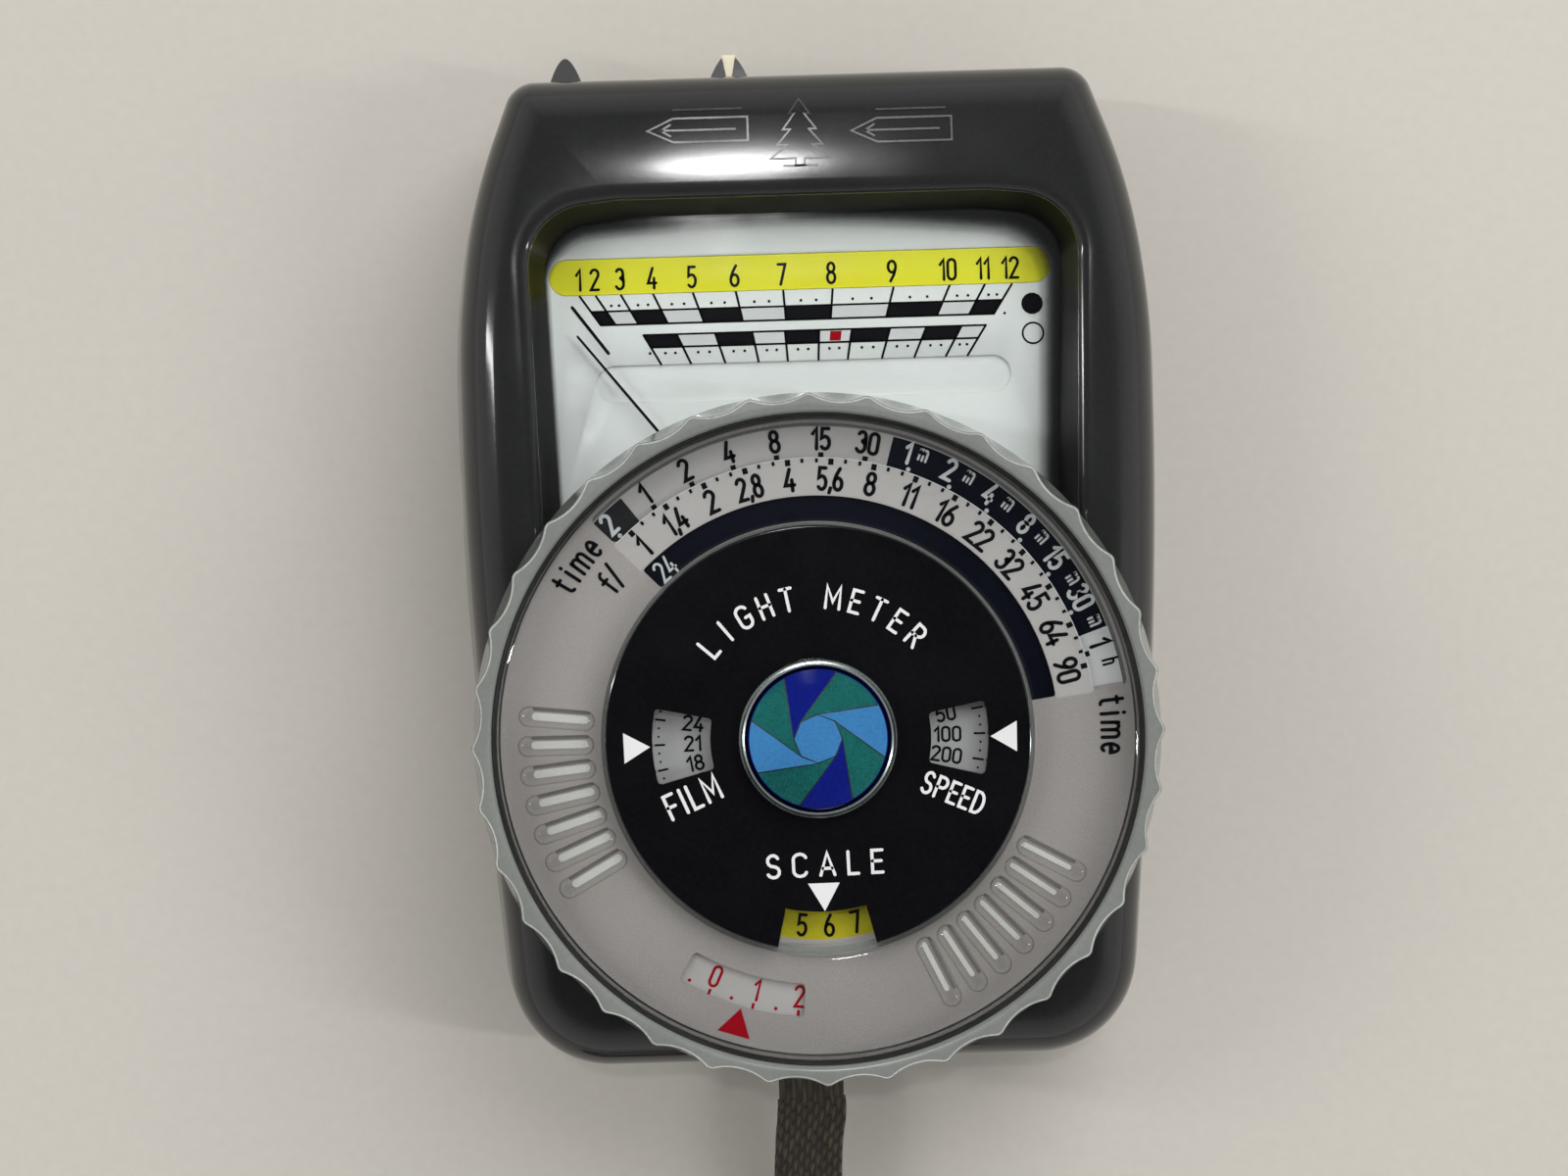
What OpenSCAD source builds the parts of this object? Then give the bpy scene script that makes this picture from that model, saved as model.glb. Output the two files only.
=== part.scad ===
// Handheld light meter lying on its back, dial up.
// Millimetres. +Z out of the dial, +Y towards the end that holds the light sensor, +X to the right.
// The origin is on the resting face, below the middle of the case.

/* [Case] */
// Half of the case's length
half_len = 50; // [49.8:0.1:50.3]
// Half of the case's greatest width
half_wid = 35.5; // [35.3:0.1:35.7]
// Height of the front face above the resting face
face_z = 26; // [25.8:0.1:26.4]
// Height of the joint line between the two halves of the case
part_z = 12; // [11.8:0.1:12.2]
// Wall thickness of the case
wall = 2; // [1.8:0.1:2.2]

/* [Dial] */
// Distance of the dial's centre below the middle of the case
dial_drop = 16.2; // [16.0:0.1:16.4]
// Radius over the crests of the scalloped ring
ring_r = 32.5; // [32.2:0.1:32.8]
// Radius of the finger scallops
scallop_r = 5; // [4.5:0.1:6]
// Depth of the finger scallops
scallop_depth = 0.75; // [0.5:0.05:0.9]
// Number of finger scallops
scallops = 36; // [30:1:40]
// Radius of the clear aperture disc
clear_r = 30.4; // [30.2:0.1:30.5]
// Radius of the black index plate
plate_r = 20.2; // [20.0:0.1:20.3]
// Angle of the aperture disc's scale about the dial, clockwise from the top
scale_turn = 18; // [16:1:20]
// Radius of the moulded finger ribs on the aperture disc
rib_r = 1; // [0.8:0.05:1.1]

/* [Meter movement] */
// Length of the pointer from its pivot to its tip
pointer_len = 36; // [35.5:0.1:36.2]
// Angle of the resting pointer, counter-clockwise from +Y
pointer_rest = 38.7; // [38:0.1:39.5]

/* [Strap] */
// Width of the flat woven strap
strap_w = 7; // [6.8:0.1:7.2]
// Thickness of the strap
strap_t = 1; // [0.9:0.05:1.0]

/* [Hidden] */
$fn = 64;
dial_y = -dial_drop;
cap_at = [-17, -31];
pivot_at = [0, -4.5];
sensor_z = 12;
rocker_at = [31.6, 8];
button_at = [8, 12];
board_at = [14, -33];
boss_at = [[27.9, 38.6], [-27.9, 38.6], [26, -41], [-26, -41]];
lug_x = -1.5;
lug_y = -51.6;
strap_from = lug_y - 3.3;
grip_h = 3.7;
lug_z = 7;
carriage_x = -15;
clear_z = face_z + 3.1;
time_z = face_z + 1.4;
ring_z = face_z + 0.5;
plate_z = face_z + 4.2;
post_r = 4;
run = 0.06;
ribs_a_side = 7;
rib_pitch = 5.9;
rib_span = [22.1, 27.3];
mask_arc = [scale_turn - 62.75, scale_turn + 64];
shift_arc = [scale_turn - 193.5, scale_turn - 166.5];
clear_top = face_z + 6.4;
scale_z = 19.4;
pane_z = 21.5;
pointer_z = 20.4;

// Case outline, right half from the top corner down: [x, y, corner radius]
case_half = [
    [29, half_len, 4.5], [33.85, 37.2, 58], [half_wid, 24.4, 74], [half_wid, -0.6, 400],
    [31.3, 0.3 - half_len, 11.2]
];
case_poly = concat(
    [for (i = [len(case_half) - 1 : -1 : 0]) case_half[i]],
    [for (v = case_half) [-v[0], v[1], v[2]]]
);
// Window outlines at the pane and at the front face
window_in = [[25.6, 34.1, 5], [0, 36.9, 150], [-25.6, 34.1, 5], [-24.4, 0.5, 3], [24.4, 0.5, 3]];
window_out = [[26.8, 35.2, 6], [0, 38, 155], [-26.8, 35.2, 6], [-25.8, -1, 3], [25.8, -1, 3]];
// Strap routes from the lug to the coil: [x, y, z, twist of the width away from +X]
upper_route = [
    [lug_x, strap_from, 7.6, 0], [lug_x, strap_from - 1.4, 7.6, 0], [-1.9, -60, 7.6, 0], [-2.1, -64, 7.5, 0],
    [-1.7, -68, 7.0, 20], [-0.8, -72, 5.9, 45], [0.3, -76, 4.6, 75], [1, -80, 3.9, 90], [0.7, -85, 3.8, 90],
    [-1.9, -90, 3.8, 90], [-5.6, -94, 3.8, 90], [-10, -96.5, 3.8, 90]
];
lower_route = [
    [lug_x, strap_from, 6.4, 0], [lug_x, strap_from - 1.4, 6.4, 0], [-1.9, -60, 6.3, 0], [-2.1, -64, 5.9, 0],
    [-2.5, -68, 5.2, 20], [-2.7, -72, 4.4, 45], [-2.4, -76, 3.9, 75], [-1.8, -80, 3.8, 90],
    [-2.0, -84, 3.8, 90], [-4.1, -88.5, 3.8, 90], [-7.4, -91.9, 3.8, 90], [-11.4, -93.9, 3.8, 90]
];
coil_at = [-16, -133.4];
coil_r = 39.4;

// ---------- geometry helpers ----------
function unit(v) = v / norm(v);
function left_of(v) = [-v[1], v[0]];
function flat(v) = [v[0], v[1]];
// Vertex i of polygon p moved inwards by d, for a counter-clockwise polygon
function inset_corner(p, i, d) =
    let (n = len(p), a = flat(p[(i + n - 1) % n]), b = flat(p[i]), c = flat(p[(i + 1) % n]),
         n1 = left_of(unit(b - a)), n2 = left_of(unit(c - b)))
    b + (n1 + n2) * d / (1 + n1 * n2);
// The polygon moved inwards by d with its corners rounded, in k segments each
function rounded(p, d = 0, k = 6) = [
    for (i = [0 : len(p) - 1])
        let (n = len(p), b = inset_corner(p, i, d),
             u = unit(inset_corner(p, (i + n - 1) % n, d) - b),
             w = unit(inset_corner(p, (i + 1) % n, d) - b),
             r = max(p[i][2] - d, 0.4), half = acos(max(-1, min(1, u * w))) / 2,
             c = b + unit(u + w) * r / sin(half), sweep = 180 - 2 * half,
             from = atan2(-left_of(u)[1], -left_of(u)[0]))
        for (j = [0 : k]) c + r * [cos(from + sweep * j / k + 180), sin(from + sweep * j / k + 180)]
];
// Solid through rings of equal length, each a list of 3-D points
module loft(rings) {
    n = len(rings[0]);
    m = len(rings);
    polyhedron(
        points = [for (r = rings) for (p = r) p],
        faces = concat(
            [[for (i = [0 : n - 1]) i]],
            [for (k = [0 : m - 2]) for (i = [0 : n - 1])
                [k * n + i, (k + 1) * n + i, (k + 1) * n + (i + 1) % n]],
            [for (k = [0 : m - 2]) for (i = [0 : n - 1])
                [k * n + i, (k + 1) * n + (i + 1) % n, k * n + (i + 1) % n]],
            [[for (i = [n - 1 : -1 : 0]) (m - 1) * n + i]]
        )
    );
}
function at_z(pts, z) = [for (p = pts) [p[0], p[1], z]];
module case_loft(levels) {
    loft([for (l = levels) at_z(rounded(case_poly, l[1], 5), l[0])]);
}
module on_dial(z = 0) {
    translate([0, dial_y, z]) children();
}
// Clockwise angle from the top of the dial
module clockwise(a) {
    rotate([0, 0, -a]) children();
}
module tube(r1, r2, h) {
    difference() {
        cylinder(r = r2, h = h);
        translate([0, 0, -1]) cylinder(r = r1, h = h + 2);
    }
}
// Flat sector between two radii and two clockwise angles
function sector_points(r1, r2, a1, a2, k) = concat(
    [for (i = [0 : k]) let (a = 90 - a1 - (a2 - a1) * i / k) r2 * [cos(a), sin(a)]],
    [for (i = [k : -1 : 0]) let (a = 90 - a1 - (a2 - a1) * i / k) r1 * [cos(a), sin(a)]]
);
module sector(r1, r2, a1, a2, h, k = 12) {
    linear_extrude(height = h) polygon(sector_points(r1, r2, a1, a2, k));
}
// Flat spiral strip, used for the hairsprings
module spiral(r1, r2, turns, w, h) {
    k = 40;
    function ray(i) = let (a = 360 * turns * i / k) [cos(a), sin(a)];
    function rad(i) = r1 + (r2 - r1) * i / k;
    linear_extrude(height = h) polygon(concat(
        [for (i = [0 : k]) ray(i) * (rad(i) + w / 2)],
        [for (i = [k : -1 : 0]) ray(i) * (rad(i) - w / 2)]
    ));
}

// ---------- case ----------
rear_rim = [for (a = [0 : 22.5 : 90]) [4.5 - 4.5 * cos(a), 4.5 - 4.5 * sin(a)]];
front_rim = [for (a = [0 : 18 : 90]) [face_z - 6 + 6 * sin(a), 6.2 - 4.9 * cos(a)]];
module rear_outer() {
    case_loft(concat(rear_rim, [[part_z, 0]]));
}
module rear_inner() {
    case_loft([[wall, 5.2], [wall + 1.2, 2.9], [wall + 3.5, wall], [part_z + 1, wall]]);
}
module front_outer() {
    case_loft(concat([[part_z, 0]], front_rim));
}
module front_inner() {
    case_loft([[part_z - 1, wall], [face_z - 6, wall + 0.6], [face_z - 3.2, 3.7], [face_z - wall, 6.4]]);
}
module carriage_channel() {
    translate([-27, half_len - 3.2, sensor_z - 6.2]) cube([38.5, 8, 12.4]);
}
module sensor_hole() {
    translate([0, half_len - 8, sensor_z]) rotate([-90, 0, 0]) cylinder(r = 5, h = 12);
}
module rocker_slot() {
    translate([half_wid - 5, rocker_at[1] - 9.4, part_z - 3.4]) cube([8, 18.8, 6.8]);
}
module button_hole() {
    translate([-half_wid - 3, button_at[0], part_z]) rotate([0, 90, 0]) cylinder(r = 2.95, h = 8);
}
module lug_holes() {
    for (s = [-1, 1]) translate([lug_x + s * 4.7, -45.7, lug_z]) rotate([90, 0, 0])
        cylinder(r = 0.78, h = 8);
}
module end_wall() {
    translate([-28, half_len - 5.6, 3]) cube([40, 3.4, part_z * 2 - 6]);
}
module case_cuts() {
    carriage_channel();
    sensor_hole();
    rocker_slot();
    button_hole();
    lug_holes();
}
module rear_case() {
    color([0.13, 0.135, 0.145]) difference() {
        union() {
            difference() {
                rear_outer();
                rear_inner();
            }
            intersection() {
                rear_outer();
                union() {
                    end_wall();
                    translate([-6.5, -half_len + 1, 4.5]) cube([13, 4, 5]);
                    for (b = boss_at) translate([b[0], b[1], 1]) cylinder(r = 3.6, h = 5.8);
                    translate([cap_at[0], cap_at[1], 1]) cylinder(r = 11.4, h = 1.6);
                    translate([pivot_at[0], pivot_at[1], 1]) cylinder(r = 5, h = 2);
                }
            }
        }
        case_cuts();
        for (b = boss_at) translate([b[0], b[1], -1]) {
            cylinder(r = 1.4, h = 12);
            cylinder(r = 2.6, h = 3.2);
        }
        translate([cap_at[0], cap_at[1], -1]) cylinder(r = 9.6, h = 8);
        translate([pivot_at[0], pivot_at[1], -1]) cylinder(r = 2.4, h = 8);
        translate([-20, 4, -1]) cube([40, 26, 1.7]);
    }
}
module front_case() {
    color([0.13, 0.135, 0.145]) difference() {
        union() {
            difference() {
                front_outer();
                front_inner();
            }
            intersection() {
                front_outer();
                union() {
                    translate([0, 0, part_z]) end_wall();
                    for (b = boss_at) translate([b[0], b[1], part_z]) cylinder(r = 3.6, h = 13);
                    loft([for (z = [pane_z, face_z - 1]) at_z(rounded(window_out, -0.6), z)]);
                    on_dial(face_z - 4) cylinder(r = 6.6, h = 3);
                }
            }
        }
        case_cuts();
        loft([at_z(rounded(window_in), pane_z), at_z(rounded(window_in), pane_z + 1),
              at_z(rounded(window_out), face_z), at_z(rounded(window_out), face_z + 1)]);
        for (b = boss_at) translate([b[0], b[1], part_z - 1]) cylinder(r = 1.25, h = 7);
        on_dial(face_z - 8) cylinder(r = post_r, h = 12);
        on_dial(face_z - 8) cylinder(r = 5.4, h = 5.2);
    }
}
module case_screws() {
    color([0.62, 0.62, 0.6]) for (b = boss_at) translate([b[0], b[1], 0.5]) difference() {
        union() {
            cylinder(r = 2.4, h = 1.65);
            cylinder(r = 1.2, h = 16);
        }
        translate([-3, -0.3, -1]) cube([6, 0.6, 1.6]);
    }
}
module rear_plate() {
    color([0.7, 0.7, 0.68]) translate([-19.8, 4.2, 0.15]) cube([39.6, 25.6, 0.53]);
}
module window_pane() {
    color([0.85, 0.9, 0.92, 0.3])
        linear_extrude_at(pane_z - 0.8, 0.78) polygon(rounded(window_in, -1.1));
}
module linear_extrude_at(z, h) {
    translate([0, 0, z]) linear_extrude(height = h) children();
}
module scale_plate() {
    color([0.83, 0.84, 0.85]) difference() {
        linear_extrude_at(scale_z - 0.8, 0.8) polygon(rounded(window_in, -1.2));
        translate([-0.3, 29.5, scale_z - 0.35]) slot_shape(49.9, 3.6, 1);
        translate([-0.2, 18.8, scale_z - 0.35]) slot_shape(41.1, 3.6, 1);
        translate([pivot_at[0], pivot_at[1], 0]) cylinder(r = 9.5, h = 40);
    }
}
module slot_shape(l, w, h) {
    for (s = [-1, 1]) translate([s * (l - w) / 2, 0, 0]) cylinder(r = w / 2, h = h);
    translate([-(l - w) / 2, -w / 2, 0]) cube([l - w, w, h]);
}
module scale_strip() {
    color([0.95, 0.86, 0.1]) translate([-0.3, 29.5, scale_z - 0.34]) slot_shape(49.8, 3.5, 0.2);
}

// ---------- dial ----------
module dial_post() {
    color([0.75, 0.72, 0.62]) difference() {
        on_dial(0) union() {
            translate([0, 0, face_z - 4.2]) cylinder(r = 5.2, h = 1.38);
            translate([0, 0, face_z - 4.2]) cylinder(r = post_r - 0.02, h = plate_z - face_z + 4.2);
        }
        on_dial(face_z - 2) cylinder(r = 1.5, h = 12);
    }
}
module wave_washer() {
    color([0.6, 0.6, 0.62]) on_dial(face_z + 0.02) tube(post_r + 0.3, 8, 0.45);
}
module scalloped_ring() {
    color([0.6, 0.62, 0.6]) on_dial(ring_z) difference() {
        rotate_extrude($fn = 144) polygon([
            [29.2, 0], [ring_r + 0.1, 0], [ring_r + 0.55, 0.5], [ring_r + 0.45, 2.2], [ring_r, 6.45],
            [ring_r - 0.25, 6.7], [31.2, 6.7], [30.75, 6.2], [30.75, 1.9], [29.75, 1.9], [29.75, 0.9],
            [29.2, 0.9]
        ]);
        for (i = [0 : scallops - 1]) rotate([0, 0, (i + 0.5) * 360 / scallops])
            translate([ring_r + scallop_r - scallop_depth, 0, 1.1])
                cylinder(r1 = scallop_r - scallop_depth - 0.5, r2 = scallop_r + 0.12, h = 6.2);
    }
}
module time_disc() {
    color([0.78, 0.77, 0.76]) on_dial(0) {
        translate([0, 0, time_z]) tube(post_r + run, 29.72, 1.0);
        translate([0, 0, time_z - 0.7]) tube(post_r + run, 7, 0.72);
    }
}
module finger_rib(a) {
    clockwise(a) translate([0, 0, clear_top - 0.15]) {
        translate([0, rib_span[0], 0]) rotate([-90, 0, 0])
            cylinder(r = rib_r, h = rib_span[1] - rib_span[0]);
        for (r = rib_span) translate([0, r, 0]) sphere(r = rib_r);
    }
}
module aperture_disc() {
    color([0.9, 0.92, 0.93, 0.35]) on_dial(0) {
        rotate_extrude() polygon([
            [post_r + run, clear_z], [clear_r, clear_z], [clear_r, clear_top - 0.3],
            [clear_r - 0.3, clear_top], [20.75, clear_top], [20.45, clear_top - 0.3],
            [20.45, clear_z + 0.8], [post_r + run, clear_z + 0.8]
        ]);
        for (first = [-119.3, 118.9]) for (i = [0 : ribs_a_side - 1]) finger_rib(first + rib_pitch * i);
    }
}
// Silver mask under the clear disc, with its windows on the scales below
module aperture_print() {
    color([0.74, 0.72, 0.72]) on_dial(clear_z - 0.24) difference() {
        tube(20.4, clear_r - 0.1, 0.22);
        translate([0, 0, -1]) {
            for (r = [[26.7, 30.0], [20.2, 23.0]]) sector(r[0], r[1], mask_arc[0], mask_arc[1], 3, 24);
            sector(23.6, 26.8, shift_arc[0], shift_arc[1], 3, 8);
        }
    }
}
module speed_print() {
    color([0.8, 0.8, 0.78]) on_dial(clear_z - 0.24) tube(9.6, 16.2, 0.22);
}
module index_plate() {
    color([0.03, 0.03, 0.035]) on_dial(plate_z) difference() {
        cylinder(r = plate_r, h = 1.2);
        translate([0, 0, -1]) {
            cylinder(r = 1.6, h = 4);
            sector(16.4, 21, 166.5, 192.5, 3);
            sector(10.2, 15.7, -104.75, -78, 3);
            sector(10.7, 16.1, 78.75, 104, 3);
        }
    }
}
module dial_screw() {
    color([0.65, 0.62, 0.5]) on_dial(0) difference() {
        union() {
            translate([0, 0, plate_z + 1.2]) cylinder(r = 3, h = 0.6);
            translate([0, 0, face_z - 1.5]) cylinder(r = 1.48, h = 6.9);
        }
        translate([-4, -0.3, plate_z + 1.5]) cube([8, 0.6, 1]);
    }
}
module badge_rim() {
    color([0.75, 0.75, 0.74]) on_dial(plate_z + 1.2) difference() {
        rotate_extrude() polygon([[6.6, 0], [7.7, 0], [7.7, 0.9], [7.3, 1.25], [6.9, 1.25], [6.6, 1.05]]);
    }
}
module badge_disc() {
    color([0.1, 0.35, 0.5]) on_dial(plate_z + 1.82) cylinder(r = 6.58, h = 0.3);
}
module badge_dome() {
    color([0.9, 0.92, 0.93, 0.3]) on_dial(plate_z + 2.14) rotate_extrude()
        polygon(concat(
            [[0, 0], [6.55, 0]],
            [for (i = [5 : -1 : 0]) [6.55 * i / 5, 0.5 - 0.4 * pow(i / 5, 2)]]
        ));
}

// ---------- meter movement ----------
module on_pivot(z = 0) {
    translate([pivot_at[0], pivot_at[1], z]) children();
}
module movement_yoke() {
    color([0.5, 0.5, 0.52]) on_pivot(6.5) tube(6.4, 8.6, 8);
}
module core_magnet() {
    color([0.35, 0.35, 0.37]) on_pivot(6.8) tube(1.1, 4.6, 7.4);
}
module movement_bridge() {
    color([0.72, 0.66, 0.42]) difference() {
        on_pivot(0) {
            translate([-8.6, -2.2, 17.2]) cube([17.2, 4.4, 1.0]);
            translate([-8.6, -2.2, 3.6]) cube([17.2, 4.4, 1.0]);
            for (s = [-1, 1]) translate([s * 8 - 0.6, -2.2, 3.6]) {
                cube([1.2, 4.4, 2.9]);
                translate([0, 0, 10.9]) cube([1.2, 4.4, 3.2]);
            }
        }
        on_pivot(0) cylinder(r = 0.95, h = 30);
    }
}
module pivot_jewels() {
    color([0.75, 0.1, 0.2]) for (z = [3.7, 17.3]) on_pivot(z) tube(0.36, 0.94, 0.8);
}
module hairsprings() {
    color([0.8, 0.65, 0.3]) for (z = [5.2, 16.2]) on_pivot(z) spiral(1.5, 3.3, 3.5, 0.14, 0.3);
}
module moving_coil() {
    color([0.7, 0.35, 0.15]) on_pivot(0) rotate([0, 0, pointer_rest + 90]) difference() {
        translate([-5.7, -1.3, 6.0]) cube([11.4, 2.6, 9.3]);
        translate([-5.0, -2, 6.6]) cube([10, 4, 8.1]);
        cylinder(r = 0.32, h = 20);
    }
}
module coil_staff() {
    color([0.75, 0.75, 0.77]) on_pivot(0) {
        translate([0, 0, 3.75]) cylinder(r = 0.3, h = 17.0);
        translate([0, 0, 15.32]) cylinder(r = 0.8, h = 0.7);
        translate([0, 0, 5.28]) cylinder(r = 0.8, h = 0.7);
    }
}
module pointer() {
    color([0.06, 0.06, 0.07]) on_pivot(pointer_z) rotate([0, 0, pointer_rest]) difference() {
        union() {
            cylinder(r = 1.4, h = 0.25);
            linear_extrude(height = 0.25) polygon([
                [-0.5, 0], [0.5, 0], [0.16, 20], [0.12, pointer_len], [-0.12, pointer_len], [-0.16, 20]
            ]);
        }
        translate([0, 0, -1]) cylinder(r = 0.32, h = 3);
    }
}
module pointer_tail() {
    color([0.72, 0.66, 0.42]) on_pivot(pointer_z - 0.42) rotate([0, 0, pointer_rest]) difference() {
        union() {
            cylinder(r = 1.2, h = 0.4);
            translate([-0.4, -6, 0]) cube([0.8, 6, 0.4]);
            translate([-1, -6.6, 0]) cube([2, 1.6, 0.4]);
        }
        translate([0, 0, -1]) cylinder(r = 0.32, h = 3);
    }
}
module zero_screw() {
    color([0.3, 0.3, 0.32]) on_pivot(0.4) difference() {
        cylinder(r = 2.34, h = 2.3);
        translate([-3, -0.35, -1]) cube([6, 0.7, 1.7]);
    }
}
module needle_clamp() {
    color([0.68, 0.68, 0.7]) translate([-15, 8.5, scale_z + 0.15]) cube([30, 1.4, 0.35]);
}
module clamp_springs() {
    color([0.6, 0.6, 0.62])
        for (s = [-1, 1]) translate([s * 17.4 - 1.5, 6.4, scale_z + 0.05]) cube([3, 5, 0.2]);
}

// ---------- light path ----------
module sensor_window() {
    color([0.85, 0.9, 0.92, 0.35]) translate([0, half_len - 5.2, sensor_z]) rotate([-90, 0, 0])
        cylinder(r = 4.9, h = 1.9);
}
module light_tube() {
    color([0.1, 0.1, 0.1]) translate([0, 35, sensor_z]) rotate([-90, 0, 0]) difference() {
        cylinder(r = 5.6, h = half_len - 40.7);
        translate([0, 0, -1]) cylinder(r = 4.6, h = 14);
    }
}
module baffle_grid() {
    color([0.2, 0.2, 0.2]) translate([0, 38, sensor_z]) rotate([-90, 0, 0]) difference() {
        cylinder(r = 4.5, h = 4);
        for (x = [-2.6, 0, 2.6]) for (y = [-2.6, 0, 2.6]) translate([x, y, -1]) cylinder(r = 1.05, h = 8);
    }
}
module photocell() {
    color([0.6, 0.35, 0.2]) translate([0, 32.4, sensor_z]) rotate([-90, 0, 0]) cylinder(r = 4.4, h = 2.2);
}
module cell_holder() {
    color([0.15, 0.15, 0.16]) difference() {
        translate([-7, 30.6, sensor_z - 5.8]) cube([14, 4.2, 11.6]);
        translate([0, 32.2, sensor_z]) rotate([-90, 0, 0]) cylinder(r = 4.6, h = 8);
    }
}
module grip(half_w) {
    linear_extrude(height = 9)
        polygon([for (i = [-8 : 8]) [half_w * i / 8, grip_h * (1 - pow(abs(i / 8), 1.8))]]);
}
// Wedge that is let into the split grip, wider at its outer end
module grip_wedge(play, h) {
    linear_extrude(height = h)
        polygon([[-0.3 - play, 1.4 - play], [0.3 + play, 1.4 - play], [0.95 + play, 5], [-0.95 - play, 5]]);
}
module diffuser_carriage() {
    color([0.1, 0.1, 0.11]) difference() {
        union() {
            translate([carriage_x - 10.4, half_len - 3.0, sensor_z - 5.9]) cube([20.8, 1.2, 11.8]);
            translate([carriage_x - 8.2, half_len - 1.82, sensor_z - 4.5]) grip(2.0);
            translate([carriage_x + 8.2, half_len - 1.82, sensor_z - 4.5]) grip(2.4);
        }
        translate([carriage_x, half_len - 5, sensor_z]) rotate([-90, 0, 0]) cylinder(r = 5.2, h = 6);
        translate([carriage_x + 8.2, half_len - 1.82, sensor_z - 5]) grip_wedge(0.03, 10);
    }
}
module diffuser_dome() {
    color([0.93, 0.9, 0.8]) {
        translate([carriage_x, half_len - 3.0, sensor_z]) rotate([-90, 0, 0]) intersection() {
            cylinder(r = 5.15, h = 6);
            translate([0, 0, -2.2]) sphere(r = 5.6);
        }
    }
}
module grip_insert() {
    color([0.93, 0.9, 0.8]) translate([carriage_x + 8.2, half_len - 1.82, sensor_z - 4.5]) intersection() {
        grip_wedge(0, 9);
        translate([-2, 0, 0]) cube([4, grip_h - 0.12, 9]);
    }
}

// ---------- electrics ----------
module circuit_board() {
    color([0.45, 0.36, 0.15]) translate([board_at[0] - 11, board_at[1] - 9, 6.9]) difference() {
        cube([19, 20, 1.2]);
        for (x = [2, 17]) for (y = [2, 18]) translate([x, y, -1]) cylinder(r = 0.6, h = 4);
    }
}
module trim_resistors() {
    color([0.3, 0.2, 0.12]) for (i = [0 : 3])
        translate([board_at[0] - 7, board_at[1] - 5 + 4 * i, 9.4]) rotate([0, 90, 0])
            cylinder(r = 1.1, h = 8);
}
module range_rocker() {
    color([0.1, 0.1, 0.11]) difference() {
        union() {
            translate([0, 0, part_z - 3.1]) linear_extrude(height = 6.2) polygon(concat(
                [[half_wid - 2.4, rocker_at[1] + 9], [half_wid - 2.4, rocker_at[1] - 9]],
                [for (i = [-6 : 6]) [half_wid - 0.8 - 0.012 * i * i, rocker_at[1] + i * 1.5]]
            ));
            translate([rocker_at[0] - 1.4, rocker_at[1] - 2, part_z - 3.1]) cube([4, 4, 6.2]);
        }
        translate([rocker_at[0], rocker_at[1], 0]) cylinder(r = 0.86, h = 30);
    }
}
module rocker_bracket() {
    color([0.65, 0.65, 0.66]) difference() {
        union() {
            for (z = [part_z - 4.4, part_z + 3.4]) translate([rocker_at[0] - 3.6, rocker_at[1] - 2.5, z])
                cube([5, 5, 1]);
            translate([rocker_at[0] - 4.4, rocker_at[1] - 2.5, part_z - 4.4]) cube([0.9, 5, 8.8]);
        }
        translate([rocker_at[0], rocker_at[1], 0]) cylinder(r = 0.8, h = 30);
    }
}
module rocker_pin() {
    color([0.8, 0.8, 0.8]) translate([rocker_at[0], rocker_at[1], part_z - 4.8]) cylinder(r = 0.8, h = 9.6);
}
module rocker_contacts() {
    color([0.8, 0.6, 0.3]) for (s = [-1, 1])
        translate([rocker_at[0] - 5.2, rocker_at[1] + s * 6 - 1, part_z - 2]) cube([0.3, 2, 6]);
}
module test_button() {
    color([0.1, 0.1, 0.11]) translate([-half_wid + 0.7, button_at[0], part_z]) rotate([0, 90, 0]) {
        cylinder(r = 2.8, h = 4.3);
        translate([0, 0, 2.1]) cylinder(r = 3.7, h = 0.9);
    }
}
module test_spring() {
    color([0.7, 0.7, 0.72]) translate([-28.4, button_at[0], part_z]) rotate([0, 90, 0])
        for (i = [0 : 2]) translate([0, 0, i * 0.9])
            rotate_extrude() translate([1.6, 0]) circle(r = 0.2, $fn = 16);
}
module test_contact_block() {
    color([0.4, 0.3, 0.15]) translate([-25.6, button_at[0] - 3, part_z - 4]) cube([2, 6, 8]);
}
module battery_cap() {
    color([0.12, 0.12, 0.13]) translate([cap_at[0], cap_at[1], 0.3]) difference() {
        union() {
            cylinder(r = 9.5, h = 1.5);
            cylinder(r = 8.9, h = 2.6);
        }
        translate([-6, -0.8, -1]) cube([12, 1.6, 1.8]);
    }
}
module battery_sleeve() {
    color([0.16, 0.16, 0.17]) translate([cap_at[0], cap_at[1], 3.2]) tube(8.1, 9.3, 13);
}
module battery_cells() {
    color([0.75, 0.75, 0.72]) for (z = [3.3, 9.4]) translate([cap_at[0], cap_at[1], z]) {
        cylinder(r = 5.6, h = 0.8);
        translate([0, 0, 0.8]) cylinder(r = 7.8, h = 5.2);
    }
}
module battery_contact() {
    color([0.8, 0.65, 0.35]) translate([cap_at[0], cap_at[1], 0]) {
        translate([-3, -3, 15.6]) cube([6, 6, 0.3]);
        translate([-1.2, -12.6, 16.25]) cube([2.4, 15.6, 0.3]);
        translate([-1.2, 1.6, 15.6]) cube([2.4, 1.4, 0.95]);
    }
}

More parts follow.
